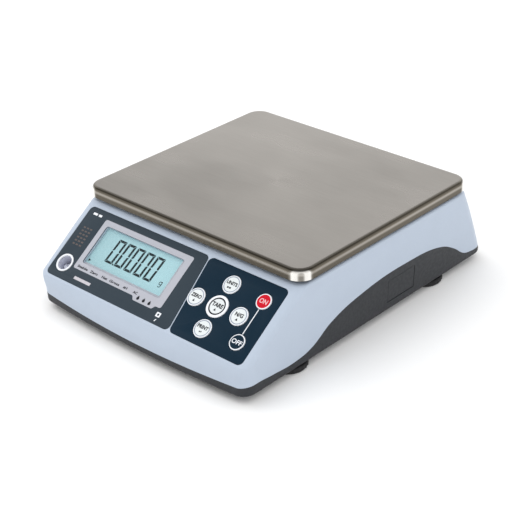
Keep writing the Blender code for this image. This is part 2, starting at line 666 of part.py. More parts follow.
def make_load_cell(assembly):
    """An aluminium beam along Y, fixed at its rear end, with its flexing middle bored out sideways."""
    cell_rear = PAN_MIDDLE + CELL_LENGTH / 2
    cell_front = PAN_MIDDLE - CELL_LENGTH / 2
    high = CELL_LOW + CELL_HEIGHT
    low_corner, high_corner = (-CELL_WIDTH / 2, cell_front, CELL_LOW), (CELL_WIDTH / 2, cell_rear, high)
    cell = assembly.part(box_between("load_cell", low_corner, high_corner), aluminium())
    middle_z = (CELL_LOW + high) / 2
    for index, offset in enumerate((-0.014, 0.014)):
        place = (PAN_MIDDLE + offset, middle_z)
        assembly.change(cell, cylinder(f"cell_bore_{index}", 0.008, -0.02, 0.02, place, side_matrix(), 20))
    slot = box("cell_slot", (0.04, 0.028, 0.003), (0, PAN_MIDDLE, middle_z))
    assembly.change(cell, slot)
    for index, y in enumerate(FIXED_BOLTS + FREE_BOLTS):
        assembly.change(cell, cylinder(f"cell_hole_{index}", BOLT_HOLE, 0.0, 0.08, (0, y), steps=16))
    base = box_between("load_cell_base", (-0.015, 0.040, 0.0124), (0.015, cell_rear, CELL_LOW - GAP))
    assembly.part(base, aluminium())
    riser = box_between("load_cell_riser", (-0.015, cell_front, high + GAP), (0.015, -0.009, SUPPORT_LOW - GAP))
    assembly.part(riser, aluminium())
    for index, y in enumerate(FIXED_BOLTS):
        assembly.change(base, cylinder(f"base_hole_{index}", BOLT_HOLE, 0.0, 0.08, (0, y), steps=16))
    for index, y in enumerate(FREE_BOLTS):
        assembly.change(riser, cylinder(f"riser_hole_{index}", BOLT_HOLE, 0.04, 0.11, (0, y), steps=16))


def make_bolt(assembly, name, place, head_low, shank_low):
    head_top, head, radius = head_low + BOLT_HEAD_HEIGHT, BOLT_HEAD_RADIUS, BOLT_RADIUS
    profile = [(0, head_top), (head - 0.0004, head_top), (head, head_top - 0.0005)]
    profile += [(head, head_low), (radius, head_low), (radius, shank_low), (0, shank_low)]
    assembly.part(turned(name, profile, place, steps=12), zinc())


def make_base_plate(assembly):
    low, high = (-0.040, -0.060, BASE_PLATE_Z), (0.040, 0.095, BASE_PLATE_Z + BASE_PLATE_SHEET)
    base_plate = assembly.part(box_between("base_plate", low, high), zinc())
    for index, y in enumerate(FIXED_BOLTS):
        assembly.change(base_plate, cylinder(f"plate_hole_{index}", BOLT_HOLE, 0.0, 0.08, (0, y), steps=16))
    stop_hole = cylinder("stop_hole", BOLT_HOLE, 0.0, 0.08, (0, FREE_BOLTS[0]), steps=16)
    assembly.change(base_plate, stop_hole)


def make_bolts(assembly):
    for side, y in zip(("front", "rear"), FIXED_BOLTS):
        make_bolt(assembly, "fixed_end_bolt_" + side, (0, y), CELL_LOW + CELL_HEIGHT + GAP, 0.0104)
    for side, y in zip(("front", "rear"), FREE_BOLTS):
        make_bolt(assembly, "free_end_bolt_" + side, (0, y), SUPPORT_HIGH - 0.003 + GAP, CELL_LOW + 0.004)
    profile = [(0, 0.0300), (0.0029, 0.0300), (0.0029, 0.0185), (0.0055, 0.0185), (0.0055, 0.0124)]
    profile += [(0.003, 0.0124), (0.003, 0.0103), (0, 0.0103)]
    assembly.part(turned("overload_stop", profile, (0, FREE_BOLTS[0]), steps=12), zinc())


# --- electronics, feet and fasteners ---------------------------------------------------------------------------


def make_main_board(assembly):
    board = box_between("main_board", MAIN_BOARD_LOW, MAIN_BOARD_HIGH)
    assembly.part(board, circuit_board())
    chips = (
        ("processor", (-0.030, -0.136), (0.014, 0.014), 0.0020),
        ("converter", (0.005, -0.138), (0.010, 0.008), 0.0020),
        ("supply_coil", (0.035, -0.132), (0.012, 0.012), 0.0080),
        ("ribbon_header", (-0.055, -0.128), (0.020, 0.006), 0.0070),
    )
    for name, (x, y), (width, depth), height in chips:
        top = MAIN_BOARD_HIGH[2]
        corner = (x - width / 2, y - depth / 2, top - 0.0006)
        assembly.change(board, box_between(name, corner, (x + width / 2, y + depth / 2, top + height)), "UNION")


def make_battery(assembly):
    x, y = BATTERY_MIDDLE
    width, length, height = BATTERY_SIZE
    low = FLOOR_Z + WALL + GAP
    battery = box("battery", BATTERY_SIZE, (x, y, low + height / 2))
    assembly.part(battery, material("battery_case", (0.10, 0.11, 0.12), 0.5))
    for index, offset in enumerate((-0.024, 0.024)):
        tab = box(f"terminal_{index}", (0.0065, 0.010, 0.006), (x + offset, y - length / 2 + 0.012, low + height))
        assembly.change(battery, tab, "UNION")


def make_ports(assembly):
    """A round power socket and a nine-way serial socket, each with its flange outside the rear wall."""
    frame = rear_matrix()
    barrel = JACK_HOLE_RADIUS - 0.0004
    profile = [(0, 0.0016), (0.0068, 0.0016), (0.0074, 0.0010), (0.0074, GAP), (barrel, GAP), (barrel, -0.0120)]
    jack = turned("power_socket", profile + [(0, -0.0120)], (-JACK_X, 0), frame, 20)
    assembly.part(jack, material("black_plastic", (0.02, 0.02, 0.022), 0.4))
    assembly.change(jack, cylinder("power_socket_bore", 0.0037, -0.0100, 0.004, (-JACK_X, 0), frame, 16))
    pin = cylinder("power_socket_pin", 0.0010, -0.0105, -0.0046, (-JACK_X, 0), frame, 10)
    assembly.change(jack, pin, "UNION")
    flange = box("serial_socket", (*SERIAL_FLANGE, 0.0012 - GAP), (0, 0, (0.0012 + GAP) / 2), frame)
    assembly.part(flange, zinc())
    shell_corners = [(-0.0078, -0.0042), (0.0078, -0.0042), (0.0089, 0.0042), (-0.0089, 0.0042)]
    shell = plate("serial_shell", [rounded_outline(shell_corners, 0.0018, 3)], -0.010, 0.0060, frame)
    assembly.change(flange, shell, "UNION")


def make_feet(assembly):
    for corner, place in zip(CORNERS, FOOT_PLACES):
        profile = [(0, STUD_TOP), (STUD_RADIUS - 0.0007, STUD_TOP), (STUD_RADIUS, STUD_TOP - 0.0007)]
        profile += [(STUD_RADIUS, FOOT_HEIGHT + GAP), (0, FOOT_HEIGHT + GAP)]
        assembly.part(turned("foot_stud_" + corner, profile, place, steps=16), zinc())
        rim = 0.001
        profile = [(0, FOOT_HEIGHT), (FOOT_RADIUS - rim, FOOT_HEIGHT), (FOOT_RADIUS, FOOT_HEIGHT - rim)]
        profile += [(FOOT_RADIUS, 0.0018), (FOOT_RADIUS - 0.0018, 0), (0, 0)]
        assembly.part(turned("foot_" + corner, profile, place), rubber())


def make_housing_screws(assembly):
    for corner, place in zip(CORNERS, SCREW_PLACES):
        profile = [(0, 0.0310), (0.0016, 0.0300), (0.0016, 0.0094), (0.0032, 0.0094), (0.0032, 0.0074), (0, 0.0074)]
        assembly.part(turned("housing_screw_" + corner, profile, place, steps=12), zinc())


def make_lead(assembly, name, route, radius, look):
    """A round lead along a smooth curve through the route's points."""
    curve = bpy.data.curves.new(name, "CURVE")
    curve.dimensions = "3D"
    curve.bevel_depth = radius
    curve.bevel_resolution = 1
    curve.use_fill_caps = True
    spline = curve.splines.new("POLY")
    points = smooth_route(route)
    spline.points.add(len(points) - 1)
    for knot, point in zip(spline.points, points):
        knot.co = (*point, 1)
    lead = bpy.data.objects.new(name, curve)
    assembly.parts.objects.link(lead)
    curve.materials.append(look)


def smooth_route(route, steps=5):
    """Points of the Catmull-Rom curve through the route."""
    knots = [Vector(point) for point in route]
    knots = [2 * knots[0] - knots[1], *knots, 2 * knots[-1] - knots[-2]]
    points = []
    for a, b, c, d in zip(knots, knots[1:], knots[2:], knots[3:]):
        for step in range(steps):
            t = step / steps
            turn = (c - a) * t + (2 * a - 5 * b + 4 * c - d) * t**2 + (3 * b - a - 3 * c + d) * t**3
            points.append(b + turn / 2)
    return points + [knots[-2]]


def make_leads(assembly):
    sheath = material("lead_sheath", (0.30, 0.31, 0.33), 0.6)
    cell_route = [(-0.0154, 0.060, 0.040), (-0.024, 0.056, 0.038), (-0.030, 0.030, 0.024), (-0.032, -0.030, 0.018)]
    cell_route += [(-0.040, -0.080, 0.020), (-0.052, -0.112, 0.0225), (-0.055, -0.1246, 0.0235)]
    make_lead(assembly, "load_cell_lead", cell_route, 0.0018, sheath)
    battery_route = [(0.059, -0.0340, 0.0590), (0.058, -0.045, 0.0592), (0.054, -0.053, 0.050), (0.047, -0.075, 0.032)]
    battery_route += [(0.040, -0.105, 0.0240), (0.035, -0.1256, 0.0235)]
    make_lead(assembly, "battery_lead", battery_route, 0.0014, material("red_sheath", (0.45, 0.02, 0.02), 0.5))


def main():
    clear_scene()
    assembly = Assembly()
    make_pan(assembly)
    make_support(assembly)
    make_cushions(assembly)
    make_load_cell(assembly)
    make_base_plate(assembly)
    make_bolts(assembly)
    make_upper_housing(assembly)
    make_lower_housing(assembly)
    make_side_cover(assembly)
    make_battery_door(assembly)
    make_overlays(assembly)
    make_display(assembly)
    make_keys(assembly)
    make_keypad_board(assembly)
    make_level(assembly)
    make_main_board(assembly)
    make_battery(assembly)
    make_ports(assembly)
    make_feet(assembly)
    make_housing_screws(assembly)
    make_leads(assembly)


main()
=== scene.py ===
"""The looks of the counting scale: finer shells, pan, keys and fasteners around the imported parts, the printed marks,
every material, a pale studio and the camera.

Metres, +Z up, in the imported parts' own frame. The front panel faces -Y, and the scale stands on Z = 0.
"""

import json
import math

import bmesh
import bpy
from mathutils import Matrix, Vector


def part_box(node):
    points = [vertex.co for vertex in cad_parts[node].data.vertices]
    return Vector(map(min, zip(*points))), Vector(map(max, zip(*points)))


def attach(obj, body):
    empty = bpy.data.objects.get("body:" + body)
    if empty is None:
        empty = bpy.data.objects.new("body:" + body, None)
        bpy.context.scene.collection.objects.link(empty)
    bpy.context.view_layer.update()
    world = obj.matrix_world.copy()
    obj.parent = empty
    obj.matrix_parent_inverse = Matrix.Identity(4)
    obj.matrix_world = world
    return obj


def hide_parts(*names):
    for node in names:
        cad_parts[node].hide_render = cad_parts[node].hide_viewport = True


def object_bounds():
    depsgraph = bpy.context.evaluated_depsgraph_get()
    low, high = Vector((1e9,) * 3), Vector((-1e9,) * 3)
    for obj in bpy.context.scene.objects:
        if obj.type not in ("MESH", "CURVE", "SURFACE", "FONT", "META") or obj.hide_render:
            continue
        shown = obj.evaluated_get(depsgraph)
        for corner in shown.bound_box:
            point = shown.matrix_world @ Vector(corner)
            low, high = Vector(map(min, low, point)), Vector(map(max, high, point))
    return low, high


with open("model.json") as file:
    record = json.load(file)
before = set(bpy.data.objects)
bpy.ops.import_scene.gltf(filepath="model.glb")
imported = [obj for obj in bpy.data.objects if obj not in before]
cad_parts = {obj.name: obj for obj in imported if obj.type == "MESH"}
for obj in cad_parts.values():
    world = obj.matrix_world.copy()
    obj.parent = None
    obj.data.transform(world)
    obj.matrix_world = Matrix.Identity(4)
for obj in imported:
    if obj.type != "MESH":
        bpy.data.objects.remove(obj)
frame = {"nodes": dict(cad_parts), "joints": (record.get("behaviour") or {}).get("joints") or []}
CAD_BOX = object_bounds()

# The housing's outline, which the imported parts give
NOSE_Y, REAR_Y = CAD_BOX[0].y, CAD_BOX[1].y
FLOOR_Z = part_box("lower_housing")[0].z
DECK_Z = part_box("upper_housing")[1].z
DECK_ROUNDING = 0.003
FLOOR_ROUNDING, FLOOR_ROUNDING_TOP = 0.0025, 0.0095
PANEL_LOW_Z, NOSE_Z, NOSE_BOW = 0.038, 0.02, 0.006
CREST_HEIGHT, CREST_SETBACK = 0.0011, 0.0019
BASE_HALF_WIDTH = 0.1335
FRONT_CORNER_LOW, FRONT_CORNER_HIGH, REAR_CORNER = 0.011, 0.009, 0.014
REAR_LEAN, REAR_WIDEST_Z = math.radians(23.8), 0.0115
WALL, PANEL_WALL, GAP = 0.0025, 0.0028, 0.0003
COLUMN_RADIUS, COLUMN_LOW_Z, FLOOR_TOP_Z = 0.0045, 0.0128, 0.008
SCREW_HOLE_RADIUS, SCREW_HEAD_HOLE_RADIUS, SCREW_HEAD_TOP_Z = 0.0019, 0.0036, 0.0098
FOOT_BOSS_RADIUS, FOOT_HOLE_RADIUS = 0.008, 0.0044
MAIN_BOARD_TOP_Z = 0.0196
SIDE_SEAM = [(-0.2, 0.004), (-0.1805, 0.0142), (-0.1725, 0.0176), (-0.16, 0.0186), (-0.14, 0.017)]
SIDE_SEAM += [(-0.112, 0.0157), (-0.09, 0.0195), (-0.0628, 0.0347), (-0.0201, 0.0453), (0.045, 0.0492)]
SIDE_SEAM += [(0.1037, 0.0424), (0.126, 0.0312), (0.1458, 0.0178), (0.16, 0.0149), (0.2, 0.0149)]
REAR_SEAM = [(0.11, 0.0138), (0.099, 0.0153), (0.088, 0.019), (0.076, 0.033), (0.06, 0.0405)]
REAR_SEAM_MIDDLE_Z = 0.0415

# The sloping panel: the keys are pressed straight into it, and the display's overlay starts at its upper edge
OVERLAY_SHEET, OVERLAY_CORNER, OVERLAY_HALF_WIDTH, OVERLAY_LENGTH = 0.0007, 0.005, 0.128, 0.079
PRESS = Vector(next(joint["axis"] for joint in frame["joints"] if joint["name"] == "key_on_press"))
PANEL_TILT = math.atan2(PRESS.y, -PRESS.z)
OVERLAY_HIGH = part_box("display_window")[1]
PANEL_TOP_Y = OVERLAY_HIGH.y - OVERLAY_SHEET * math.sin(PANEL_TILT)
PANEL_TOP_Z = OVERLAY_HIGH.z
PANEL = Matrix.Translation((0, PANEL_TOP_Y, PANEL_TOP_Z)) @ Matrix.Rotation(PANEL_TILT, 4, "X")
RIB_TOP_X, RIB_LOW_X, RIB_WIDTH = 0.0322, 0.0402, 0.0014
LEVEL_HOLE_RADIUS, POCKET_CLEARANCE, POCKET_DEPTH, PLUNGER_HOLE_RADIUS = 0.0089, 0.0005, 0.0018, 0.0034
CLEAR = 0.003  # how far a cutting tool stands out of the panel
KEYS = ("key_units", "key_zero", "key_tare", "key_net_gross", "key_print", "key_on", "key_off")

# Sockets in the leaning rear wall
PORT_Z, JACK_X = 0.028, -0.045
REAR = (
    Matrix.Translation((0, REAR_Y - (PORT_Z - REAR_WIDEST_Z) * math.tan(REAR_LEAN), PORT_Z))
    @ Matrix.Rotation(math.pi, 4, "Z")
    @ Matrix.Rotation(math.pi / 2 - REAR_LEAN, 4, "X")
)
JACK = REAR @ Matrix.Translation((-JACK_X, 0, 0))
SIDE = Matrix(((0, 0, 1, 0), (1, 0, 0, 0), (0, 1, 0, 0), (0, 0, 0, 1)))

CORNERS = ("front_left", "front_right", "rear_left", "rear_right")
INK = 0.00005
SMOOTH = 35


def upright(node):
    """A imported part's box, its half width and the upright axis through its middle."""
    low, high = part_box(node)
    return low, high, (high.x - low.x) / 2, Matrix.Translation((*((low + high) / 2).xy, 0))


def places(kind):
    """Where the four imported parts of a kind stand."""
    return [upright(kind + corner)[3].translation.xy for corner in CORNERS]


def on_panel(x, y):
    return PANEL @ Matrix.Translation((x, y, 0))


def panel_box(node):
    """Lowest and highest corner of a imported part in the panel's own frame: X across, -Y down the slope, Z out."""
    inverse = PANEL.inverted()
    points = [inverse @ vertex.co for vertex in frame["nodes"][node].data.vertices]
    return Vector(map(min, zip(*points))), Vector(map(max, zip(*points)))


# --- materials ---


class Look:
    """A material built from noise patterns in the piece's own coordinates, in metres."""

    def __init__(self, name, color, roughness, metallic=0.0, **constants):
        self.material = bpy.data.materials.new(name)
        self.material.use_nodes = True
        self.nodes = self.material.node_tree.nodes
        self.links = self.material.node_tree.links
        self.shader = self.nodes["Principled BSDF"]
        self.color, self.roughness = color, roughness
        self.give("Metallic", metallic)
        for socket, value in constants.items():
            self.give(socket.replace("_", " "), value)
        self.place = self.nodes.new("ShaderNodeTexCoord").outputs["Object"]

    def feed(self, socket, value):
        """Links a pattern to the socket, or sets a constant on it. Colours come without their alpha."""
        if isinstance(value, bpy.types.NodeSocket):
            self.links.new(value, socket)
        else:
            socket.default_value = (*value, 1) if socket.type == "RGBA" else value

    def give(self, socket, value):
        self.feed(self.shader.inputs[socket], value)

    def node(self, kind, inputs, operation=None):
        made = self.nodes.new("ShaderNode" + kind)
        if operation:
            made.operation = operation
        for socket, value in inputs.items():
            self.feed(made.inputs[socket], value)
        return made

    def noise(self, grain, stretch=(1, 1, 1), detail=3.0):
        """Noise whose features measure about grain, made longer along each axis by stretch."""
        scale = [1 / (grain * longer) for longer in stretch]
        place = self.node("Mapping", {"Vector": self.place, "Scale": scale}).outputs["Vector"]
        return self.node("TexNoise", {"Vector": place, "Scale": 1, "Detail": detail}).outputs["Fac"]

    def ramp(self, value, low, high, start=0.35, end=0.65):
        """Maps a pattern's values from start..end to low..high."""
        limits = {"From Min": start, "From Max": end, "To Min": low, "To Max": high}
        return self.node("MapRange", {"Value": value, **limits}).outputs["Result"]

    def math(self, operation, *values):
        return self.node("Math", dict(enumerate(values)), operation).outputs["Value"]

    def profile(self, value, start, end, stops):
        """A smooth curve through (share of start..end, level) stops."""
        made = self.node("ValToRGB", {"Fac": self.ramp(value, 0, 1, start, end)})
        made.color_ramp.interpolation = "EASE"
        fill_ramp(made.color_ramp, stops)
        return made.outputs["Color"]

    def scaled(self, color, *factors):
        for factor in factors:
            color = self.node("VectorMath", {0: color, "Scale": factor}, "SCALE").outputs["Vector"]
        return color

    def axes(self):
        return list(self.node("SeparateXYZ", {"Vector": self.place}).outputs)

    def mix(self, factor, first, second):
        made = self.nodes.new("ShaderNodeMix")
        made.data_type = "RGBA"
        colors = [socket for socket in made.inputs if socket.type == "RGBA"]
        for socket, value in zip((made.inputs["Factor"], *colors), (factor, first, second)):
            self.feed(socket, value)
        return next(socket for socket in made.outputs if socket.type == "RGBA")

    def shade(self, share):
        return tuple(channel * share for channel in self.color)

    def finish(self, patches=0.03, patch_size=0.02, speckle=0.03, grain=0.0006, bump=0.15, depth=0.00003,
               rough_spread=0.06, stretch=(1, 1, 1)):
        """Slow patches and fine speckle in the colour, uneven gloss, and a fine grain in the surface."""
        self.fine = self.noise(grain, stretch)
        slow = self.noise(patch_size)
        base = self.mix(self.ramp(slow, 0, 1), self.shade(1 - patches), self.shade(1 + patches))
        speck = self.mix(self.ramp(self.fine, 0, 1), self.shade(1 - speckle), self.shade(1 + speckle))
        self.out = self.mix(0.5, base, speck)
        self.give("Base Color", self.out)
        uneven = self.noise(grain * 6, stretch)
        self.give("Roughness", self.ramp(uneven, self.roughness - rough_spread, self.roughness + rough_spread))
        if bump:
            self.bump(self.fine, bump, depth)
        return self

    def bump(self, height, strength, depth):
        made = self.node("Bump", {"Strength": strength, "Distance": depth, "Height": height})
        self.give("Normal", made.outputs["Normal"])


def fill_ramp(ramp, stops):
    """Grey levels at (place, level) stops. The first two stops take the ramp's own two elements."""
    for index, (place, level) in enumerate(stops):
        stop = ramp.elements[index] if index < 2 else ramp.elements.new(place)
        stop.position, stop.color = place, (level, level, level, 1)


def plastic(name, color, roughness=0.45, grain=0.0005, **finish):
    return Look(name, color, roughness, Specular_IOR_Level=0.4).finish(grain=grain, **finish).material


def film(name, color, roughness=0.4):
    """Printed polyester film with a faint velvet texture."""
    look = Look(name, color, roughness, Specular_IOR_Level=0.15)
    return look.finish(0.04, 0.03, 0.05, 0.0003, 0.1, 0.00001, 0.05).material


def ink(name, color, roughness):
    return Look(name, color, roughness, Specular_IOR_Level=0.25).finish(0.02, 0.01, 0.03, 0.0002, 0, 0, 0.05).material


def steel():
    """Stainless sheet brushed across its width. The folded skirt is darker and browner in bands as painted reflection,
    the pan is darker towards its front as painted shade, and the skirt's corners carry painted highlights.
    """
    look = Look("brushed_pan_steel", (0.43, 0.405, 0.375), 0.3, 1.0, Anisotropic=0.35)
    brush = look.noise(0.0003, (120, 1, 1), 4.0)
    cloud = look.noise(0.05, (2, 1, 1))
    fine = look.mix(look.ramp(brush, 0, 1, 0.3, 0.7), look.shade(0.95), look.shade(1.05))
    low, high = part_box("weighing_pan")
    x, y, z = look.axes()
    # Painted reflection: by height, the skirt is darkened in bands and the darker bands turn brown, standing in for
    # what the folded sheet reflects.
    skirt = [(0, 0.24), (1, 1), (0.36, 0.27), (0.58, 0.85), (0.76, 0.38), (0.9, 0.14), (0.975, 0.7)]
    bands = look.profile(z, low.z, high.z, skirt)
    # Painted shade: the whole pan's colour darkens towards its front edge.
    painted_front_shade = look.ramp(y, 0.9, 1.0, low.y, low.y + 0.15)
    warm = look.mix(bands, (0.47, 0.405, 0.3), fine)
    base = look.scaled(warm, bands, painted_front_shade)
    # Painted highlight: pale stripes on the skirt's rounded corners, kept below the top bend, stand in for lamps
    # reflected there.
    from_middle = look.math("ABSOLUTE", look.math("SUBTRACT", y, (low.y + high.y) / 2))
    reach = look.math("ADD", look.math("ABSOLUTE", x), from_middle)
    edge = high.x + (high.y - low.y) / 2
    corner_highlight_stops = [(0, 0), (1, 0.2), (0.25, 0.1), (0.5, 1), (0.8, 0.9), (0.9, 0.15)]
    painted_corner_highlights = look.profile(reach, edge - 0.016, edge - 0.009, corner_highlight_stops)
    below = look.ramp(z, 1, 0, high.z - 0.003, high.z - 0.0008)
    look.give("Base Color", look.mix(look.math("MULTIPLY", painted_corner_highlights, below), base, (0.88, 0.86, 0.82)))
    bend = look.ramp(z, 0, 0.12, high.z - 0.0002, high.z - 0.0016)
    look.give("Roughness", look.math("SUBTRACT", look.ramp(cloud, 0.26, 0.34), bend))
    look.bump(brush, 0.05, 0.00001)
    return look.material


def bare_metal(name, color, roughness=0.35, stretch=(1, 1, 1), grain=0.0004, bump=0.12, spread=0.08):
    look = Look(name, color, roughness, 1.0)
    return look.finish(0.05, 0.015, 0.08, grain, bump, 0.00003, spread, stretch).material


def display_face():
    """A backlit display: pale cyan, brighter towards the lamp at its right end."""
    look = Look("display_face", (0.34, 0.54, 0.58), 0.25, Specular_IOR_Level=0.2)
    look.finish(0.03, 0.03, 0.02, 0.0004, 0, 0, 0.04)
    low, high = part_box("lcd_glass")
    lit = look.mix(look.ramp(look.axes()[0], 0, 1, low.x, high.x), (0.29, 0.45, 0.49), (0.37, 0.58, 0.63))
    look.give("Base Color", look.mix(look.ramp(look.fine, 0.4, 0.6), lit, look.out))
    look.give("Emission Color", lit)
    look.give("Emission Strength", 0.12)
    return look.material


def clear(name, color, alpha, roughness=0.05):
    look = Look(name, color, roughness, Alpha=alpha, IOR=1.49)
    return look.finish(0.02, 0.02, 0.02, 0.001, 0, 0, 0.02).material


def board_mask():
    """Green solder mask with the faint pattern of the copper under it."""
    look = Look("board_mask", (0.03, 0.16, 0.08), 0.4, Coat_Weight=0.2)
    look.finish(0.05, 0.02, 0.05, 0.0005, 0.1)
    cells = look.node("TexVoronoi", {"Vector": look.place, "Scale": 260})
    cells.distance = "CHEBYCHEV"
    copper = look.ramp(cells.outputs["Distance"], 0, 1, 0.42, 0.46)
    look.give("Base Color", look.mix(copper, look.out, (0.05, 0.24, 0.12)))
    return look.material


LOOKS = {
    "light_plastic": plastic("light_housing_plastic", (0.44, 0.505, 0.6), 0.42, bump=0.1, patches=0.015, speckle=0.02),
    "dark_plastic": plastic("dark_housing_plastic", (0.016, 0.018, 0.022), 0.5, bump=0.25, speckle=0.1),
    "window_print": film("window_film", (0.034, 0.048, 0.062)),
    "keypad_print": film("keypad_film", (0.0045, 0.019, 0.036)),
    "key_white": film("key_film_white", (0.7, 0.74, 0.75)),
    "key_red": film("key_film_red", (0.56, 0.004, 0.018)),
    "key_navy": film("key_film_navy", (0.0045, 0.019, 0.036)),
    "battery_case": plastic("battery_case", (0.05, 0.055, 0.06), 0.5, bump=0.3),
    "black_rubber": plastic("black_rubber", (0.014, 0.014, 0.015), 0.75, 0.0008, bump=0.4, speckle=0.15),
    "pan_steel": steel(),
    "cast_aluminium": bare_metal("cast_aluminium", (0.6, 0.61, 0.63), 0.5, grain=0.0012, bump=0.5),
    "cell_aluminium": bare_metal("machined_aluminium", (0.72, 0.73, 0.74), 0.32, (1, 60, 1), 0.0002),
    "zinc_plated_steel": bare_metal("zinc_plate", (0.6, 0.6, 0.57), 0.34),
    "gold": bare_metal("gilt_contacts", (0.75, 0.55, 0.22), 0.3),
    "circuit_board": board_mask(),
    "lcd": display_face(),
    "clear_lens": clear("clear_lens", (0.25, 0.35, 0.38), 0.03),
    "vial": clear("vial_liquid", (0.62, 0.64, 0.74), 0.75, 0.12),
    "bubble": clear("vial_bubble", (0.9, 0.92, 0.96), 0.55),
}
for name, color, roughness in (
    ("white_plastic", (0.76, 0.78, 0.82), 0.35),
    ("grey_plastic", (0.6, 0.62, 0.72), 0.4),
    ("black_plastic", (0.018, 0.018, 0.02), 0.4),
    ("grey_sheath", (0.3, 0.31, 0.33), 0.55),
    ("red_sheath", (0.45, 0.02, 0.02), 0.5),
    ("light_guide", (0.85, 0.88, 0.88), 0.3),
):
    LOOKS[name] = plastic(name, color, roughness)
for name, color, roughness in (
    ("silver_ink", (0.42, 0.43, 0.48), 0.38),
    ("white_ink", (0.8, 0.82, 0.86), 0.45),
    ("grey_ink", (0.26, 0.3, 0.37), 0.45),
    ("black_ink", (0.012, 0.014, 0.018), 0.45),
    ("dull_white_ink", (0.52, 0.5, 0.54), 0.45),
    ("faint_ink", (0.105, 0.088, 0.085), 0.45),
    ("rose_ink", (0.8, 0.5, 0.52), 0.45),
    ("segment_ink", (0.006, 0.012, 0.014), 0.3),
):
    LOOKS[name] = ink(name, color, roughness)


# --- mesh tools ---


def scene_object(name, data):
    made = bpy.data.objects.new(name, data)
    bpy.context.scene.collection.objects.link(made)
    return made


def mesh_of(bm, matrix=None):
    """The bmesh as a mesh with its faces turned outwards, moved by the matrix."""
    bmesh.ops.recalc_face_normals(bm, faces=bm.faces)
    mesh = bpy.data.meshes.new("shape")
    bm.to_mesh(mesh)
    bm.free()
    if matrix:
        mesh.transform(matrix)
    return mesh


def evaluated(obj, matrix=None):
    """What a curve, text or modified mesh looks like in the end, as a welded mesh. The object is removed."""
    mesh = bpy.data.meshes.new_from_object(obj.evaluated_get(bpy.context.evaluated_depsgraph_get()))
    bpy.data.objects.remove(obj)
    bm = bmesh.new()
    bm.from_mesh(mesh)
    bmesh.ops.remove_doubles(bm, verts=bm.verts, dist=0.000002)
    return mesh_of(bm, matrix)


def joined(parts):
    """One mesh of several, given as (mesh, material index). An index of None keeps the mesh's own."""
    bm = bmesh.new()
    for mesh, index in parts:
        start = len(bm.faces)
        bm.from_mesh(mesh)
        bm.faces.ensure_lookup_table()
        for face in bm.faces[start:] if index is not None else ():
            face.material_index = index
    mesh = bpy.data.meshes.new("shape")
    bm.to_mesh(mesh)
    bm.free()
    return mesh


def carved(mesh, changes):
    """The mesh after each (other mesh, operation)."""
    base = scene_object("carved", mesh)
    tools = []
    for other, operation in changes:
        tool = scene_object("tool", other)
        change = base.modifiers.new("change", "BOOLEAN")
        change.operation, change.object = operation, tool
        tools.append(tool)
    bpy.context.view_layer.update()
    made = evaluated(base)
    for tool in tools:
        bpy.data.objects.remove(tool)
    return made


def cut(mesh, *others):
    return carved(mesh, [(other, "DIFFERENCE") for other in others])


def block(low, high, edge=0.0004, matrix=None, steps=2):
    """A box with rounded edges."""
    low, high = Vector(low), Vector(high)
    bm = bmesh.new()
    size = Matrix.Diagonal((*(high - low), 1))
    bmesh.ops.create_cube(bm, size=1, matrix=Matrix.Translation((low + high) / 2) @ size)
    if edge:
        bmesh.ops.bevel(bm, geom=bm.edges[:], offset=edge, segments=steps, profile=0.5, affect="EDGES")
    return mesh_of(bm, matrix)


def turned(profile, matrix=None, steps=64):
    """A solid turned about Z from its (radius, height) points."""
    bm = bmesh.new()
    points = [bm.verts.new((radius, 0, height)) for radius, height in profile]
    edges = [bm.edges.new(pair) for pair in zip(points, points[1:])]
    bmesh.ops.spin(bm, geom=points + edges, cent=(0, 0, 0), axis=(0, 0, 1), angle=2 * math.pi, steps=steps)
    bmesh.ops.remove_doubles(bm, verts=bm.verts, dist=0.000002)
    return mesh_of(bm, matrix)


def loft(rings):
    bm = bmesh.new()
    loops = [[bm.verts.new(point) for point in ring] for ring in rings]
    for lower, upper in zip(loops, loops[1:]):
        for index in range(len(lower)):
            after = (index + 1) % len(lower)
            bm.faces.new((lower[index], lower[after], upper[after], upper[index]))
    bm.faces.new(loops[-1])
    bm.faces.new(reversed(loops[0]))
    return mesh_of(bm)


def plate(loops, low, high, matrix=None, edge=0.0, smooth=False):
    """A flat outline with any holes, filled from low to high, with rims rounded by edge."""
    curve = bpy.data.curves.new("plate", "CURVE")
    curve.dimensions, curve.fill_mode, curve.resolution_u = "2D", "BOTH", 14
    curve.extrude = (high - low) / 2 - edge
    curve.bevel_depth, curve.bevel_resolution, curve.offset = edge, 2, -edge
    for points in loops:
        spline = curve.splines.new("BEZIER" if smooth else "POLY")
        knots = spline.bezier_points if smooth else spline.points
        knots.add(len(points) - 1)
        for index, (knot, point) in enumerate(zip(knots, points)):
            knot.co = (*point, 0) if smooth else (*point, 0, 1)
            if smooth:
                corner = index < 2 or index >= len(points) - 2
                knot.handle_left_type = knot.handle_right_type = "VECTOR" if corner else "AUTO"
        spline.use_cyclic_u = True
    guide = scene_object("plate", curve)
    bpy.context.view_layer.update()
    return evaluated(guide, (matrix or Matrix()) @ Matrix.Translation((0, 0, (low + high) / 2)))


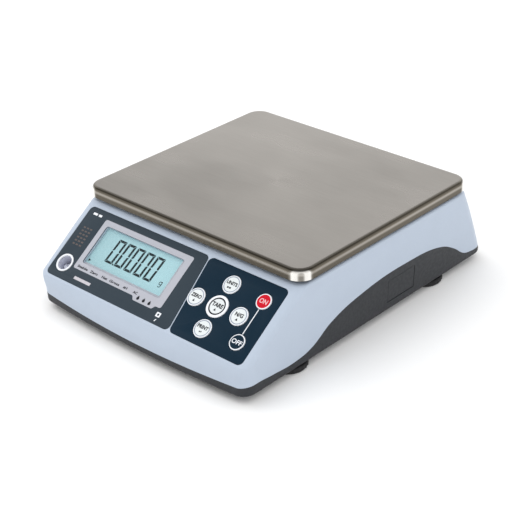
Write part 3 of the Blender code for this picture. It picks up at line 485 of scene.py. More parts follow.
def lettering(text, width, height, place, lift, bold=0.02, thick=INK):
    """Plain lettering of that width and height, centred on place in the panel's frame."""
    curve = bpy.data.curves.new("text", "FONT")
    curve.body, curve.extrude, curve.offset, curve.resolution_u = text, 0.05, bold, 4
    guide = scene_object("text", curve)
    bpy.context.view_layer.update()
    mesh = evaluated(guide)
    low = Vector(map(min, zip(*(vertex.co for vertex in mesh.vertices))))
    high = Vector(map(max, zip(*(vertex.co for vertex in mesh.vertices))))
    size = high - low
    scale = Matrix.Diagonal((width / size.x, height / size.y, thick / size.z, 1))
    centred = scale @ Matrix.Translation(-(low + high) / 2)
    mesh.transform(PANEL @ Matrix.Translation((*place, lift + thick / 2)) @ centred)
    return mesh


def arc(middle, radius, start, end, steps=12):
    angles = [math.radians(start + (end - start) * step / steps) for step in range(steps + 1)]
    return [(middle[0] + radius * math.cos(angle), middle[1] + radius * math.sin(angle)) for angle in angles]


def circle(middle, radius, steps=48):
    return arc(middle, radius, 0, 360 - 360 / steps, steps - 1)


def rectangle(left, right, low, high):
    return [(left, low), (right, low), (right, high), (left, high)]


def rounded(corners, radius, steps=8):
    """An outline through the corners, given anticlockwise, each one rounded to the radius."""
    points = []
    for index, corner in enumerate(corners):
        here = Vector(corner)
        back = (Vector(corners[index - 1]) - here).normalized()
        ahead = (Vector(corners[(index + 1) % len(corners)]) - here).normalized()
        half = back.angle(ahead) / 2
        middle = here + (back + ahead).normalized() * radius / math.sin(half)
        start = here + back * radius / math.tan(half) - middle
        outward = 1 if ahead.x * back.y - ahead.y * back.x > 0 else -1
        for step in range(steps + 1):
            angle = outward * (math.pi - 2 * half) * step / steps
            cos, sin = math.cos(angle), math.sin(angle)
            points.append((middle.x + start.x * cos - start.y * sin, middle.y + start.x * sin + start.y * cos))
    return points


def piece(name, mesh, looks, stands_for=None, body="base", slot=None, smooth=SMOOTH, weighted=False):
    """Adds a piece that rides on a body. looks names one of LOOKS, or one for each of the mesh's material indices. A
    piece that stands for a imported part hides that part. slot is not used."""
    looks = [looks] if isinstance(looks, str) else looks
    slot = slot or (looks[0] if stands_for else None)
    made = scene_object(name, mesh)
    for look in looks:
        mesh.materials.append(LOOKS[look])
    mesh.shade_smooth()
    mesh.set_sharp_from_angle(angle=math.radians(smooth))
    if weighted:
        made.modifiers.new("even_shading", "WEIGHTED_NORMAL").keep_sharp = True
    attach(made, body)
    if stands_for:
        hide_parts(stands_for)
    return made


# --- the housing's outer form ---


def blend(value, low, high):
    """0 at low, 1 at high, and a smooth step between."""
    share = min(max((value - low) / (high - low), 0), 1)
    return share * share * (3 - 2 * share)


def edge_rounding(z):
    """How far the outline draws in near the floor's and the deck's edges."""
    low = max(0, FLOOR_ROUNDING_TOP - z)
    high = max(0, z - (DECK_Z - DECK_ROUNDING))
    deck = DECK_ROUNDING - math.sqrt(max(DECK_ROUNDING**2 - high**2, 0))
    return FLOOR_ROUNDING - math.sqrt(max(FLOOR_ROUNDING**2 - low**2, 0)) + deck


def half_width(z):
    flare = 0.0025 * blend(z, -0.01, 0.04) + 0.0015 * blend(z, 0.03, 0.075)
    return BASE_HALF_WIDTH + flare - edge_rounding(z)


def front_y(z):
    """The flat sloping panel, and the round nose under it."""
    if z >= PANEL_LOW_Z:
        crest = max(z - (DECK_Z - CREST_HEIGHT), 0) / CREST_HEIGHT
        return PANEL_TOP_Y - (PANEL_TOP_Z - z) / math.tan(PANEL_TILT) + CREST_SETBACK * crest**2
    low_edge = front_y(PANEL_LOW_Z)
    share = min((PANEL_LOW_Z - z) / (PANEL_LOW_Z - NOSE_Z), 1)
    rounding = edge_rounding(z) if z < NOSE_Z else 0
    return low_edge + (NOSE_Y - low_edge) * math.sin(share * math.pi / 2) + rounding


def rear_y(z):
    upper_curve = 0.0015 * blend(z, 0.045, 0.095)
    return REAR_Y - max(z - REAR_WIDEST_Z, 0) * math.tan(REAR_LEAN) - upper_curve - edge_rounding(z)


def section(z, inset=0.0, front_inset=0.0):
    """The housing's outline at height z, anticlockwise from the middle of the front, drawn in by the insets."""
    half = half_width(z) - inset
    front, rear = front_y(z) + front_inset, rear_y(z) - inset
    low = 1 - blend(z, NOSE_Z, 0.045)
    front_corner = FRONT_CORNER_HIGH + (FRONT_CORNER_LOW - FRONT_CORNER_HIGH) * low - inset / 2
    rear_corner = REAR_CORNER - inset
    right = [(half * share / 10, front) for share in range(9)]
    right += arc((half - front_corner, front + front_corner), front_corner, -90, 0, 12)
    right += arc((half - rear_corner, rear - rear_corner), rear_corner, 0, 90, 10)
    left = [(-x, y) for x, y in reversed(right[1:])]
    bow = NOSE_BOW * (1 - blend(z, NOSE_Z, PANEL_LOW_Z))
    middle_y = (front + rear) / 2
    return [(x, y + (bow * (x / half) ** 2 if y < middle_y else 0), z) for x, y in right + left]


def steps_between(low, high, step):
    count = max(1, math.ceil((high - low) / step))
    return [low + (high - low) * index / count for index in range(count)]


def housing_form():
    heights = []
    levels = (FLOOR_Z, FLOOR_Z + FLOOR_ROUNDING, NOSE_Z, PANEL_LOW_Z)
    levels += (DECK_Z - DECK_ROUNDING, DECK_Z - CREST_HEIGHT, DECK_Z)
    for low, high, step in zip(levels, levels[1:], (0.0004, 0.0015, 0.001, 0.003, 0.0005, 0.00015)):
        heights += steps_between(low, high, step)
    return loft([section(z) for z in heights + [DECK_Z]])


def housing_hollow():
    heights = steps_between(FLOOR_Z + WALL, PANEL_LOW_Z, 0.003) + steps_between(PANEL_LOW_Z, DECK_Z - WALL, 0.006)
    return loft([section(z, WALL, PANEL_WALL / math.sin(PANEL_TILT)) for z in heights + [DECK_Z - WALL]])


def seam_region(drop):
    """Everything below the seam between the housings: low at the corners, arched along the sides and the rear."""
    outline = [(0.2, -0.01), (-0.2, -0.01)] + [(y, z - drop) for y, z in SIDE_SEAM]
    region = plate([outline], -0.2, 0.2, SIDE, smooth=True)
    arch = [(-x, z) for x, z in REAR_SEAM] + [(0, REAR_SEAM_MIDDLE_Z)] + REAR_SEAM[::-1]
    edge = REAR_SEAM[0][0]
    arch = [(-edge, -0.009), (-edge, 0.0)] + [(x, z - drop) for x, z in arch] + [(edge, 0.0), (edge, -0.009)]
    rear = plate([arch[::-1]], -0.22, -0.125, Matrix.Rotation(math.pi / 2, 4, "X"), smooth=True)
    return carved(region, [(rear, "UNION")])


# --- housings ---


def overlay_outline(left, inset=0.0, radius=OVERLAY_CORNER):
    edge, side = OVERLAY_HALF_WIDTH - inset, RIB_WIDTH / 2 + inset
    top, low = -inset, -(OVERLAY_LENGTH - inset)
    if left:
        corners = [(-edge, low), (RIB_LOW_X - side, low), (RIB_TOP_X - side, top), (-edge, top)]
    else:
        corners = [(RIB_LOW_X + side, low), (edge, low), (edge, top), (RIB_TOP_X + side, top)]
    return rounded(corners, radius)


def window_outline(inset=0.0, radius=0.0025):
    low, high = panel_box("display_lens")
    margin = GAP - inset
    return rounded(rectangle(low.x - margin, high.x + margin, low.y - margin, high.y + margin), radius)


def column(radius, low, high, place, steps=32):
    profile = [(0, high), (radius, high), (radius, low), (0, low)]
    return turned(profile, Matrix.Translation((*place, 0)), steps)


def deck_opening(grown=0.0, radius=0.004):
    """The opening round the riser, grown by a margin."""
    return rounded(rectangle(-0.024 - grown, 0.024 + grown, -0.056 - grown, -0.004 + grown), radius)


def disc(node):
    """The middle and the radius of a round part on the panel."""
    low, high = panel_box(node)
    return (low.x + high.x) / 2, (low.y + high.y) / 2, (high.x - low.x) / 2


def make_upper_shell():
    changes = [(seam_region(0), "DIFFERENCE"), (housing_hollow(), "DIFFERENCE")]
    for place in places("housing_screw_"):
        changes.append((column(COLUMN_RADIUS, COLUMN_LOW_Z, DECK_Z - 0.001, place), "UNION"))
        changes.append((column(SCREW_HOLE_RADIUS, 0.01, 0.034, place, 24), "DIFFERENCE"))
    recess_low = -OVERLAY_SHEET - GAP
    sheets = [overlay_outline(left, -GAP, OVERLAY_CORNER + GAP) for left in (True, False)]
    cuts = [plate([outline], recess_low, CLEAR, PANEL) for outline in sheets]
    cuts.append(plate([window_outline()], -0.006, CLEAR, PANEL))
    level_hole = [(0, CLEAR), (LEVEL_HOLE_RADIUS, CLEAR), (LEVEL_HOLE_RADIUS, -0.008), (0, -0.008)]
    cuts.append(turned(level_hole, on_panel(*disc("level_ring")[:2])))
    for key in KEYS:
        x, y, radius = disc(key)
        wide, floor, plunger = radius + POCKET_CLEARANCE, -POCKET_DEPTH, PLUNGER_HOLE_RADIUS
        pocket = [(0, CLEAR), (wide, CLEAR), (wide, floor), (plunger, floor), (plunger, -0.006), (0, -0.006)]
        cuts.append(turned(pocket, on_panel(x, y), 48))
    cuts.append(plate([deck_opening()], 0.075, 0.1))
    changes += [(tool, "DIFFERENCE") for tool in cuts]
    shell = carved(housing_form(), changes)
    piece("upper_shell", shell, "light_plastic", "upper_housing", smooth=32, weighted=True)
    rim = plate([deck_opening(0.0022, 0.006), deck_opening(0.0002)], DECK_Z - 0.0002, DECK_Z + 0.001, edge=0.0003)
    piece("deck_opening_rim", rim, "light_plastic", slot="light_plastic")


def make_lower_shell():
    changes = [(seam_region(GAP), "INTERSECT"), (housing_hollow(), "DIFFERENCE")]
    for place in places("foot_stud_"):
        changes.append((column(FOOT_BOSS_RADIUS, FLOOR_TOP_Z, 0.026, place), "UNION"))
        changes.append((column(FOOT_HOLE_RADIUS, 0.0, 0.04, place), "DIFFERENCE"))
    narrow, wide = SCREW_HOLE_RADIUS, SCREW_HEAD_HOLE_RADIUS
    step = SCREW_HEAD_TOP_Z
    for place in places("housing_screw_"):
        changes.append((column(0.006, FLOOR_TOP_Z, 0.0125, place), "UNION"))
        hole = [(0, 0.02), (narrow, 0.02), (narrow, step), (wide, step), (wide, 0.004), (0, 0.004)]
        changes.append((turned(hole, Matrix.Translation((*place, 0)), 32), "DIFFERENCE"))
    low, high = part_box("battery_door")
    cuts = [block((low.x - 0.0004, low.y - 0.0004, 0.0), (high.x + 0.0004, high.y + 0.0004, 0.02), 0)]
    low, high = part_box("side_cover")
    cuts.append(block((0.12, low.y - GAP, low.z - GAP), (0.15, high.y + GAP, high.z + GAP), 0))
    jack_hole = [(0, 0.02), (0.0056, 0.02), (0.0056, -0.02), (0, -0.02)]
    cuts.append(turned(jack_hole, JACK, 40))
    cuts.append(plate([rectangle(-0.01, 0.01, -0.0056, 0.0056)], -0.02, 0.02, REAR))
    for index in range(9):
        x = -0.052 - 0.006 * index
        cuts.append(block((x, -0.03, 0.0), (x + 0.0024, 0.03, 0.02), 0.0))
    changes += [(tool, "DIFFERENCE") for tool in cuts]
    shell = carved(housing_form(), changes)
    piece("lower_shell", shell, "dark_plastic", "lower_housing", smooth=32, weighted=True)


def make_covers():
    low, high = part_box("side_cover")
    limits = block((low.x, low.y, low.z + 0.0005), (0.15, high.y - 0.0005, high.z), 0.0004)
    grip = block((0.1362, low.y + 0.006, low.z + 0.002), (0.14, high.y - 0.006, low.z + 0.0036), 0.0004)
    cover = cut(carved(housing_form(), [(limits, "INTERSECT")]), grip)
    piece("side_blank", cover, "dark_plastic", "side_cover", "side_cover")
    low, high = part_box("battery_door")
    middle = (low + high) / 2
    changes = []
    for index in range(4):
        y = low.y + 0.006 + 0.003 * index
        ridge = block((middle.x - 0.012, y, low.z - 0.0005), (middle.x + 0.012, y + 0.0014, low.z + 0.0008), 0.0003)
        changes.append((ridge, "UNION"))
    door = carved(block(low, high, 0.0005), changes)
    piece("battery_hatch", door, "dark_plastic", "battery_door", "battery_door")


# --- the front panel ---


def in_mm(points):
    """Points given across and down the panel's slope in millimetres, in the panel's frame."""
    return [(x / 1000, -u / 1000) for x, u in points]


def print_mark(name, loops, look, lift=0.00001):
    """A flat printed mark on the panel. loops are outlines in the panel's frame."""
    piece(name, plate(loops, lift, lift + INK, PANEL), look)


def bar(x, u, width, height, radius=0.0003):
    """A small upright bar centred x across and u down the slope."""
    return rounded(rectangle(x - width / 2, x + width / 2, -u - height / 2, -u + height / 2), radius, 4)


def make_overlays():
    place = disc("level_ring")[:2]
    loops = [overlay_outline(True), window_outline(), circle(place, 0.0098, 64)]
    window = plate(loops, -OVERLAY_SHEET, 0, PANEL, 0.0001)
    piece("display_overlay", window, "window_print", "display_window")
    loops = [overlay_outline(False)]
    for key in KEYS:
        x, y, radius = disc(key)
        loops.append(circle((x, y), radius + GAP))
    keypad = plate(loops, -OVERLAY_SHEET, 0, PANEL, 0.0001)
    piece("keypad_film", keypad, "keypad_print", "keypad_overlay")


def make_display_print():
    corners = [(-101.5, 63.6), (-18.5, 63.6), (-15.5, 67.4), (9.0, 67.4), (11.5, 63.6), (18.0, 63.6)]
    bezel = rounded(in_mm(corners + [(18.0, 7.2), (-101.5, 7.2)]), 0.0022)
    print_mark("display_bezel_print", [bezel, window_outline(-0.0001)], "silver_ink")
    drops = [arc((x, -0.064), 0.0016, 150, 390, 16) + [(x, -0.061)] for x in (-0.0112, -0.0038, 0.0036)]
    print_mark("capacity_drops", drops, "black_ink", 2 * INK)
    words = []
    for word, x, width in (("Stable", -90.3, 14.0), ("Zero", -74.4, 10.5), ("Net", -59.6, 7.5), ("Gross", -45.9, 13.5),
                           ("#1", -31.2, 5.0), ("AC", -17.6, 5.5)):
        words.append((lettering(word, width / 1000, 0.0026, (x / 1000, -0.0602), 2 * INK, 0.03), 0))
    piece("annunciator_words", joined(words), "black_ink")
    print_mark("label_bar", [bar(-0.0813, 0.0721, 0.0225, 0.003)], "dull_white_ink")
    marks = [bar(-0.1178, 0.0065, 0.0056, 0.0024), bar(-0.1109, 0.0065, 0.0044, 0.0024)]
    print_mark("corner_marks", marks, "white_ink")
    downs, acrosses = (0.023, 0.0268, 0.0306, 0.0344, 0.0382, 0.042), (-0.1195, -0.115, -0.1105)
    print_mark("side_table_marks", [bar(x, u, 0.003, 0.0017) for u in downs for x in acrosses], "faint_ink")
    square = [bar(0.0201, 0.0695, 0.0052, 0.0046, 0.0006), circle((0.0201, -0.0695), 0.0012, 20)]
    print_mark("power_lamp_frame", square, "white_ink")
    print_mark("power_lamp_tick", [in_mm([(19.4, 76.4), (20.4, 76.4), (21.4, 73.9), (20.4, 73.9)])], "white_ink")


def zero_figure(left, low, width, height, stroke, gap, lean):
    """Outlines of the six lit bars of a seven-bar 0, leaning to the right."""
    inner_top, waist = height - stroke, height / 2 + gap
    upper = [[(gap, height), (width - gap, height), (width - gap - stroke, inner_top), (gap + stroke, inner_top)]]
    upper.append([(0, height - gap), (stroke, inner_top - gap), (stroke, (height + stroke) / 2), (stroke / 2, waist)])
    upper[1].append((0, waist))
    upper.append([(width - x, y) for x, y in upper[1]])
    bars = upper + [[(x, height - y) for x, y in points] for points in upper]
    return [[(left + x + lean * y, low + y) for x, y in points] for points in bars]


def gram_sign(x, y):
    """A single-storey g: one outline round the bowl, the stem and the hook, and the bowl's hole."""
    outline = [(1.9, 3.1), (1.2, 3.1)] + arc((0, 1.2), 1.9, 60, 300, 16) + [(1.2, -0.6)]
    outline += arc((0, -1.2), 1.2, 0, -140, 8) + arc((0, -1.2), 1.9, -140, 0, 8)
    hole = circle((0, 1.2), 1.2, 20)
    return [[(x + px / 1000, y + py / 1000) for px, py in points] for points in (outline, hole)]


def make_display():
    """The figures and signs on the glass. They lie under the lens, so from the front right they seem to sit lower."""
    glass_low, glass_high = panel_box("lcd_glass")
    face = glass_high.z + 0.00002
    width, height, pitch, first, low = 0.0104, 0.0262, 0.013, -0.0757, -0.0451
    outlines = []
    for index in range(5):
        outlines += zero_figure(first + pitch * index, low, width, height, 0.0025, 0.0003, 0.055)
    outlines.append(circle((first + pitch - 0.0012, low + 0.0006), 0.0009, 16))
    outlines.append(in_mm([(-93.4, 48.0), (-93.4, 51.2), (-90.3, 49.6)])[::-1])
    outlines += gram_sign(-0.0014, -0.0428)
    figures = plate(outlines, face, face + INK, PANEL)
    piece("display_figures", figures, "segment_ink")
    view = rounded([(-0.0985, -0.053), (0.006, -0.053), (0.006, -0.0105), (-0.0985, -0.0105)], 0.0012, 4)
    outer = rounded(rectangle(glass_low.x, glass_high.x, glass_low.y, glass_high.y), 0.0006, 4)
    frame_mesh = plate([outer, view], face, face + 4 * INK, PANEL)
    piece("display_surround", frame_mesh, "silver_ink")
    for node, look in (("lcd_glass", "lcd"), ("lcd_backlight", "light_guide"), ("display_board", "circuit_board")):
        low_corner, high_corner = panel_box(node)
        mesh = block(low_corner, high_corner, 0.0003, PANEL)
        piece(node + "_layer", mesh, look, node)
    low_corner, high_corner = panel_box("display_lens")
    lens = plate([window_outline(GAP, 0.0022)], low_corner.z, high_corner.z, PANEL, 0.0001)
    piece("lens_sheet", lens, "clear_lens", "display_lens")


def ring_bands(radius, bands, top):
    """A cap's turned profile and the radii at which its print changes."""
    profile = [(0, top)]
    for share in bands:
        edge = radius * share
        profile += [(edge - 0.00012, top), (edge, top - 0.00012), (edge + 0.00012, top)]
    profile += [(radius - 0.0005, top)] + arc((radius - 0.0005, top - 0.0005), 0.0005, 75, 0, 5)
    return profile + [(radius, -0.0012), (0.0028, -0.0012), (0.0028, -0.0046), (0, -0.0046)]


KEY_PRINT = {
    "key_units": ("UNITS", 0.0124, 0.0036, "dash"),
    "key_zero": ("ZERO", 0.0118, 0.0038, "triangle"),
    "key_tare": ("TARE", 0.0124, 0.0042, "triangle"),
    "key_net_gross": ("N/G", 0.0092, 0.004, "triangle"),
    "key_print": ("PRINT", 0.0124, 0.0036, "return"),
    "key_on": ("ON", 0.0086, 0.0046, None),
    "key_off": ("OFF", 0.0112, 0.0044, None),
}
KEY_BANDS = {
    "key_tare": ((0.66, 0.78), ("key_white", "black_ink", "white_ink", "black_ink")),
    "key_on": ((0.86,), ("key_red", "white_ink", "rose_ink")),
    "key_off": ((0.87,), ("key_navy", "white_ink", "white_ink")),
}
LEGEND_WEIGHT = 0.04
SWITCH_LEGEND_WEIGHT = 0.02
WHITE_BANDS = ((0.8, 0.89), ("key_white", "grey_ink", "white_ink", "black_ink"))
SIGNS = {
    "triangle": [[(-0.0014, -0.0011), (0.0014, -0.0011), (0, 0.0014)]],
    "dash": [rectangle(-0.0028, -0.0009, -0.0008, 0.0008), rectangle(-0.0003, 0.0016, -0.0008, 0.0008)],
    "return": [[(-0.0016, 0), (-0.0004, -0.001), (-0.0004, -0.0003), (0.0014, -0.0003), (0.0014, 0.0011),
                (0.0008, 0.0011), (0.0008, 0.0003), (-0.0004, 0.0003), (-0.0004, 0.001)]],
}


def make_keys():
    for key in KEYS:
        x, y, radius = disc(key)
        top = panel_box(key)[1].z
        bands, looks = KEY_BANDS.get(key, WHITE_BANDS)
        cap = turned(ring_bands(radius, bands, top), on_panel(x, y), 72)
        inverse = on_panel(x, y).inverted()
        for face in cap.polygons:
            out = (inverse @ face.center).xy.length
            face.material_index = sum(out > radius * share for share in bands)
        legend = len(looks) - 1
        text, width, height, sign = KEY_PRINT[key]
        shift = 0.0012 if sign else 0
        weight = LEGEND_WEIGHT if sign else SWITCH_LEGEND_WEIGHT
        parts = [(cap, None), (lettering(text, width, height, (x, y + shift), top, weight), legend)]
        if sign:
            outlines = [[(x + px, y - 0.0036 + py) for px, py in points] for points in SIGNS[sign]]
            parts.append((plate(outlines, top, top + INK, PANEL), legend))
        piece(key + "_cap", joined(parts), looks, key, key)
    on_x, on_y, on_radius = disc("key_on")
    _, off_y, off_radius = disc("key_off")
    line = rectangle(on_x - 0.00045, on_x + 0.00045, off_y + off_radius + 2 * GAP, on_y - on_radius - 2 * GAP)
    print_mark("on_off_line", [line], "white_ink")


def make_level():
    x, y, radius = disc("level_ring")
    low, high = panel_box("level_ring")
    place = on_panel(x, y)
    edge = high.z - 0.0005
    profile = [(0.0076, low.z), (radius, low.z), (radius, edge)] + arc((radius - 0.0005, edge), 0.0005, 0, 90, 4)
    profile += arc((0.0081, edge), 0.0005, 90, 180, 4) + [(0.0076, low.z)]
    piece("level_bezel", turned(profile, place, 72), "white_ink", "level_ring", slot="white_plastic")
    low, high = panel_box("level_cup")
    outer = (high.x - low.x) / 2
    cup = turned([(0, high.z), (outer, high.z), (outer, low.z), (0, low.z)], place, 72)
    bore = turned([(0, 0.002), (0.0074, 0.002), (0.0074, low.z + 0.001), (0, low.z + 0.001)], place, 72)
    low, high, radius, axis = upright("level_vial")
    base, x, y = low.z, *axis.translation.xy
    floor = block((x - 0.015, y - 0.015, base - 0.0203), (x + 0.015, y + 0.015, base - GAP), 0)
    piece("level_well", cut(cup, cut(bore, floor)), "grey_plastic", "level_cup")
    dome = [(0, 0), (0.002, -0.0001), (0.0036, -0.0004), (radius - 0.0005, -0.0008), (radius, -0.0014)]
    dome = [(out, high.z + down) for out, down in dome] + [(radius, base), (0, base)]
    piece("level_glass", turned(dome, axis, 56), "vial", "level_vial")
    bubble = [(0, -0.0005), (0.0011, -0.0007), (0.0016, -0.0012), (0.0011, -0.0017), (0, -0.0019)]
    bubble = turned([(out, high.z + down) for out, down in bubble], axis, 32)
    piece("level_bubble", bubble, "bubble", slot="vial")
    mark = plate([circle((0, 0), 0.0024), circle((0, 0), 0.0021)], high.z - INK, high.z + INK, axis)
    piece("level_mark", mark, "black_ink")


# --- weighing unit ---


def make_pan():
    low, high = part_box("weighing_pan")
    half_x, half_y, middle_y = high.x, (high.y - low.y) / 2, (low.y + high.y) / 2
    bend, corner, sheet = 0.0045, 0.0165, 0.0012

    def bent(radius, top, steps):
        """(inset, height) along the round bend."""
        turns = [math.pi / 2 * step / steps for step in range(steps + 1)]
        return [(radius * (1 - math.cos(turn)), top - radius * (1 - math.sin(turn))) for turn in turns]

    def ring(inset, z, shrink=0.0):
        edge = inset + shrink
        corners = rectangle(-half_x + edge, half_x - edge, -half_y + edge, half_y - edge)
        return [(x, y + middle_y, z) for x, y in rounded(corners, corner - edge, 14)]

    hem = 0.00025
    rings = [ring(inset, z, sheet) for inset, z in reversed(bent(bend - sheet, high.z - sheet, 8))]
    rings += [ring(0, low.z + hem, sheet), ring(0, low.z, sheet - hem), ring(0, low.z, hem), ring(0, low.z + hem)]
    rings += [ring(inset, z) for inset, z in [(0, (low.z + high.z - bend) / 2)] + bent(bend, high.z, 12)]
    piece("steel_pan", loft(rings), "pan_steel", "weighing_pan", "pan", smooth=40, weighted=True)


def recolor(look, *nodes):
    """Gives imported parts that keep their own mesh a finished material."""
    for node in nodes:
        obj = frame["nodes"][node]
        obj.data.materials.clear()
        obj.data.materials.append(LOOKS[look])


def make_support():
    recolor("cast_aluminium", "pan_support")
    recolor("cell_aluminium", "load_cell", "load_cell_base", "load_cell_riser")
    recolor("zinc_plated_steel", "base_plate", "overload_stop")
    crown, groove = 0.0008, 0.0006
    for corner in CORNERS:
        low, high, radius, axis = upright("pan_cushion_" + corner)
        waist = radius - groove
        profile = [(0, high.z)] + arc((radius - crown, high.z - crown), crown, 90, 0, 5)
        side = ((radius, 0.0036), (waist, 0.003), (waist, 0.0022), (radius, 0.0016), (radius, 0), (0, 0))
        profile += [(out, low.z + up) for out, up in side]
        piece("rubber_cushion_" + corner, turned(profile, axis, 48), "black_rubber", "pan_cushion_" + corner)


# --- fasteners, feet, electronics ---


def make_bolts():
    """Socket-head bolts with a hexagonal recess and a threaded shank."""
    for end in ("fixed", "free"):
        for side in ("front", "rear"):
            node = f"{end}_end_bolt_{side}"
            low, high, head, axis = upright(node)
            shank, head_low = 0.003, high.z - 0.005
            profile = [(0, high.z), (head - 0.0005, high.z), (head, high.z - 0.0005), (head, head_low)]
            profile += [(shank, head_low)] + thread(shank, head_low - 0.006, low.z, 0.001) + [(0, low.z)]
            socket = plate([circle((0, 0), 0.0029, 6)], high.z - 0.0028, high.z + 0.001, axis)
            piece(f"socket_bolt_{end}_{side}", cut(turned(profile, axis, 40), socket), "zinc_plated_steel", node)


def thread(radius, top, low, pitch, depth=0.0005):
    """A screw thread's ridges on a turned profile, from top down to low."""
    points, z = [(radius, top)], top
    while z - pitch > low + pitch:
        points += [(radius, z), (radius - depth, z - pitch / 2)]
        z -= pitch
    return points + [(radius, z), (radius, low)]


def make_feet():
    for corner in CORNERS:
        foot, stud = "foot_" + corner, "foot_stud_" + corner
        low, high, radius, axis = upright(foot)
        middle = axis.translation.xy
        top, shoulder = high.z - low.z, 0.0061
        profile = [(0, top), (0.0085, top), (0.0095, shoulder), (radius - 0.0016, shoulder)]
        profile += arc((radius - 0.0012, 0.0049), 0.0012, 90, 0, 5) + [(radius, 0.0018), (radius - 0.0018, 0)]
        profile += [(0.0125, 0), (0.0118, 0.0007), (0, 0.0007)]
        grip = bmesh.new()
        grip.from_mesh(turned(profile, axis, 96))
        for vertex in grip.verts:
            out = vertex.co.xy - middle
            if out.length > radius - 0.0015 and vertex.co.z > 0.0017:
                wave = 0.5 - 0.5 * math.cos(24 * math.atan2(out.y, out.x))
                vertex.co.xy = middle + out * (1 - 0.035 * wave)
        piece("grip_foot_" + corner, mesh_of(grip), "black_rubber", foot, foot)
        low, high, radius, _ = upright(stud)
        profile = [(0, high.z), (radius - 0.0007, high.z)]
        profile += thread(radius, high.z - 0.0007, low.z, 0.00125, 0.0006) + [(0, low.z)]
        piece("threaded_stud_" + corner, turned(profile, axis, 40), "zinc_plated_steel", stud, stud)


def make_screws():
    for corner in CORNERS:
        node = "housing_screw_" + corner
        low, high, _, axis = upright(node)
        profile = [(0, high.z), (0.0008, high.z - 0.001)] + thread(0.0016, high.z - 0.0022, 0.0098, 0.0008, 0.0004)
        profile += [(0.0016, 0.0094), (0.0032, 0.0094), (0.0032, 0.008), (0.0026, low.z), (0, low.z)]
        arms = ((0.0017, 0.0004), (0.0004, 0.0017))
        cross = [block((-x, -y, low.z - 0.001), (x, y, low.z + 0.0012), 0, axis) for x, y in arms]
        screw = cut(turned(profile, axis, 32), *cross)
        piece("cross_screw_" + corner, screw, "zinc_plated_steel", node)


def make_ports():
    rim = [(0, 0.0016), (0.0066, 0.0016)] + arc((0.0066, 0.0008), 0.0008, 90, 0, 4)
    rim += [(0.0074, GAP), (0.0052, GAP), (0.0052, -0.012), (0, -0.012)]
    bore = turned([(0, 0.004), (0.0041, 0.004), (0.0037, 0.001), (0.0037, -0.01), (0, -0.01)], JACK, 48)
    jack = cut(turned(rim, JACK, 56), bore)
    pin = turned([(0, -0.0046), (0.0007, -0.0046), (0.001, -0.005), (0.001, -0.0105), (0, -0.0105)], JACK, 24)
    piece("power_jack", joined([(jack, 0), (pin, 1)]), ("black_plastic", "zinc_plated_steel"), "power_socket")
    flange = plate([rounded(rectangle(-0.0155, 0.0155, -0.0063, 0.0063), 0.0012, 6)], GAP, 0.0012, REAR, 0.0002)
    corners = [(-0.0078, -0.0042), (0.0078, -0.0042), (0.0089, 0.0042), (-0.0089, 0.0042)]
    inner = [(-0.0073, -0.0037), (0.0073, -0.0037), (0.0083, 0.0037), (-0.0083, 0.0037)]
    shell = plate([rounded(corners, 0.0018), rounded(inner, 0.0014)], 0.0004, 0.006, REAR, 0.0001)
    back = plate([rounded(corners, 0.0018)], -0.01, 0.0004, REAR)
    filler = plate([rounded(inner, 0.0014)], 0.0006, 0.0046, REAR, 0.0001)
    parts = [(flange, 0), (shell, 0), (back, 0), (filler, 1)]
    for row, count in ((0.0014, 5), (-0.0014, 4)):
        for index in range(count):
            place = REAR @ Matrix.Translation(((index - (count - 1) / 2) * 0.00277, row, 0))
            contact = [(0, 0.0058), (0.0004, 0.0056), (0.0005, 0.0045), (0, 0.0045)]
            parts.append((turned(contact, place, 16), 2))
    for side in (-0.0125, 0.0125):
        nut = plate([circle((side, 0), 0.0026, 6), circle((side, 0), 0.0012, 20)], 0.0012, 0.0042, REAR, 0.0002)
        parts.append((nut, 0))
    piece("serial_port", joined(parts), ("zinc_plated_steel", "black_plastic", "gold"), "serial_socket")


def make_battery():
    low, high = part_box("battery")
    x, y = (low.x + high.x) / 2, (low.y + high.y) / 2
    lid = high.z - 0.008

    def box_on_lid(left, near, right, far, top, edge):
        return block((left, near, lid), (right, far, top), edge)

    parts = [(block(low, (high.x, high.y, high.z - 0.003), 0.0015), 0)]
    cover = low.x + 0.0006, low.y + 0.0006, high.x - 0.0006, high.y - 0.0006
    parts.append((box_on_lid(*cover, high.z - 0.0031, 0.0008), 0))
    for offset in (-0.02, 0, 0.02):
        left, right = x - 0.004 + offset, x + 0.004 + offset
        parts.append((box_on_lid(left, y + 0.02, right, y + 0.028, high.z - 0.0024, 0.0006), 0))
    for offset, look in ((-0.024, 1), (0.024, 2)):
        across, along = x + offset, low.y + 0.012
        collar, tab = (0.0045, 0.0055, high.z - 0.002, 0.0006, look), (0.00325, 0.0004, high.z, 0.0001, 3)
        for wide, deep, top, edge, index in (collar, tab):
            parts.append((box_on_lid(across - wide, along - deep, across + wide, along + deep, top, edge), index))
    looks = ("battery_case", "black_plastic", "red_sheath", "zinc_plated_steel")
    piece("battery_block", joined(parts), looks, "battery")


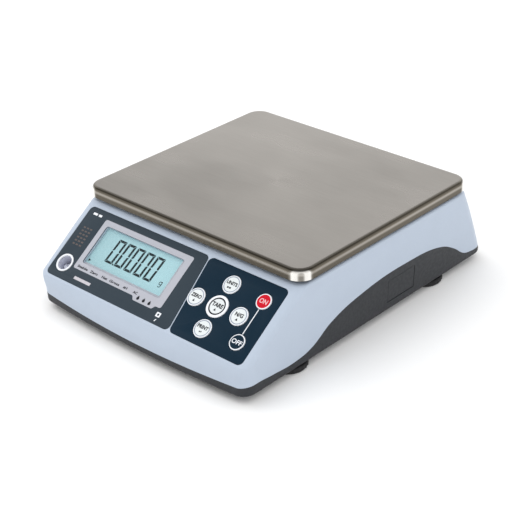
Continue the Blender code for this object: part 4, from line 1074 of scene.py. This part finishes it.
def make_boards():
    low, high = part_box("main_board")
    top = MAIN_BOARD_TOP_Z
    parts = [(block(low, (high.x, high.y, top), 0.0002), 0)]

    def standing(x, y, width, depth, height, edge, look):
        half = Vector((width / 2, depth / 2, 0))
        low = Vector((x, y, top)) - half
        parts.append((block(low, low + 2 * half + Vector((0, 0, height)), edge), look))

    def chip(x, y, width, depth, height, legs, look=1):
        standing(x, y, width, depth, height, 0.0003, look)
        for index in range(legs):
            standing(x - width / 2 + width * (index + 0.5) / legs, y, 0.0006, depth + 0.0024, 0.0006, 0, 2)

    chip(-0.03, -0.136, 0.014, 0.014, 0.002, 12)
    chip(0.005, -0.138, 0.01, 0.008, 0.002, 8)
    chip(0.035, -0.132, 0.012, 0.012, 0.008, 0)
    chip(-0.055, -0.128, 0.02, 0.006, 0.007, 8, 3)
    for index in range(10):
        chip(-0.066 + 0.0125 * index, -0.1475, 0.0032, 0.0016, 0.001, 0, 2 if index % 2 else 1)
    looks = ("circuit_board", "black_plastic", "zinc_plated_steel", "white_plastic")
    piece("main_board_loaded", joined(parts), looks, "main_board")
    recolor("circuit_board", "keypad_board")
    recolor("grey_sheath", "load_cell_lead")
    recolor("red_sheath", "battery_lead")


# --- studio ---


def make_world():
    world = bpy.data.worlds.new("studio")
    bpy.context.scene.world = world
    world.use_nodes = True
    nodes, links = world.node_tree.nodes, world.node_tree.links
    coordinates, split, ramp = (nodes.new("ShaderNode" + kind) for kind in ("TexCoord", "SeparateXYZ", "ValToRGB"))
    links.new(coordinates.outputs["Generated"], split.inputs["Vector"])
    links.new(split.outputs["Z"], ramp.inputs["Fac"])
    fill_ramp(ramp.color_ramp, ((0, 1.0), (1, 0.3), (0.5, 1.0), (0.62, 0.6), (0.75, 0.3)))
    background = nodes["Background"]
    links.new(ramp.outputs["Color"], background.inputs["Color"])
    background.inputs["Strength"].default_value = 1.0


def lamp(name, place, size, power):
    """A square light aimed at the middle of the scale."""
    light = bpy.data.lights.new(name, "AREA")
    light.shape, light.size, light.energy = "SQUARE", size, power
    made = scene_object(name, light)
    made.location = place
    made.rotation_euler = (Vector((0, 0, 0.05)) - Vector(place)).to_track_quat("-Z", "Y").to_euler()
    made.visible_glossy = False


def make_floor():
    bm = bmesh.new()
    bmesh.ops.create_grid(bm, x_segments=8, y_segments=8, size=6)
    floor = scene_object("studio_floor", mesh_of(bm))
    look = Look("studio_floor", (0.93, 0.93, 0.93), 0.8, Specular_IOR_Level=0.1)
    floor.data.materials.append(look.finish(0.005, 0.5, 0.005, 0.01, 0, 0, 0.02).material)
    floor.location.z = -0.00005


def make_camera():
    """A long lens, to the front right of the scale and above it, turned a little clockwise."""
    yaw, pitch, roll = (math.radians(angle) for angle in (43.46, 28.65, -1.71))
    back = Vector((math.sin(yaw) * math.cos(pitch), -math.cos(yaw) * math.cos(pitch), math.sin(pitch)))
    level = Vector((math.cos(yaw), math.sin(yaw), 0))
    above = back.cross(level)
    right = level * math.cos(roll) + above * math.sin(roll)
    up = above * math.cos(roll) - level * math.sin(roll)
    camera = scene_object("camera", bpy.data.cameras.new("camera"))
    camera.data.lens, camera.data.sensor_width = 95.617, 36
    turn = Matrix((right, up, back)).transposed().to_4x4()
    camera.matrix_world = Matrix.Translation((0.8032, -0.8624, 0.6722)) @ turn
    bpy.context.scene.camera = camera


def make_studio():
    make_world()
    make_floor()
    sun = bpy.data.lights.new("ceiling_light", "SUN")
    sun.energy, sun.angle = 1.75, math.radians(100)
    scene_object("ceiling_light", sun).visible_glossy = False
    lamp("key_light", (-0.9, -0.5, 1.5), 1.2, 6.5)
    lamp("side_light", (1.6, -0.2, 0.9), 0.9, 2.5)
    make_camera()
    bpy.context.scene.view_settings.view_transform = "Standard"


def main():
    make_studio()
    make_upper_shell()
    make_lower_shell()
    make_covers()
    make_overlays()
    make_display_print()
    make_display()
    make_keys()
    make_level()
    make_pan()
    make_support()
    make_bolts()
    make_feet()
    make_screws()
    make_ports()
    make_battery()
    make_boards()


main()
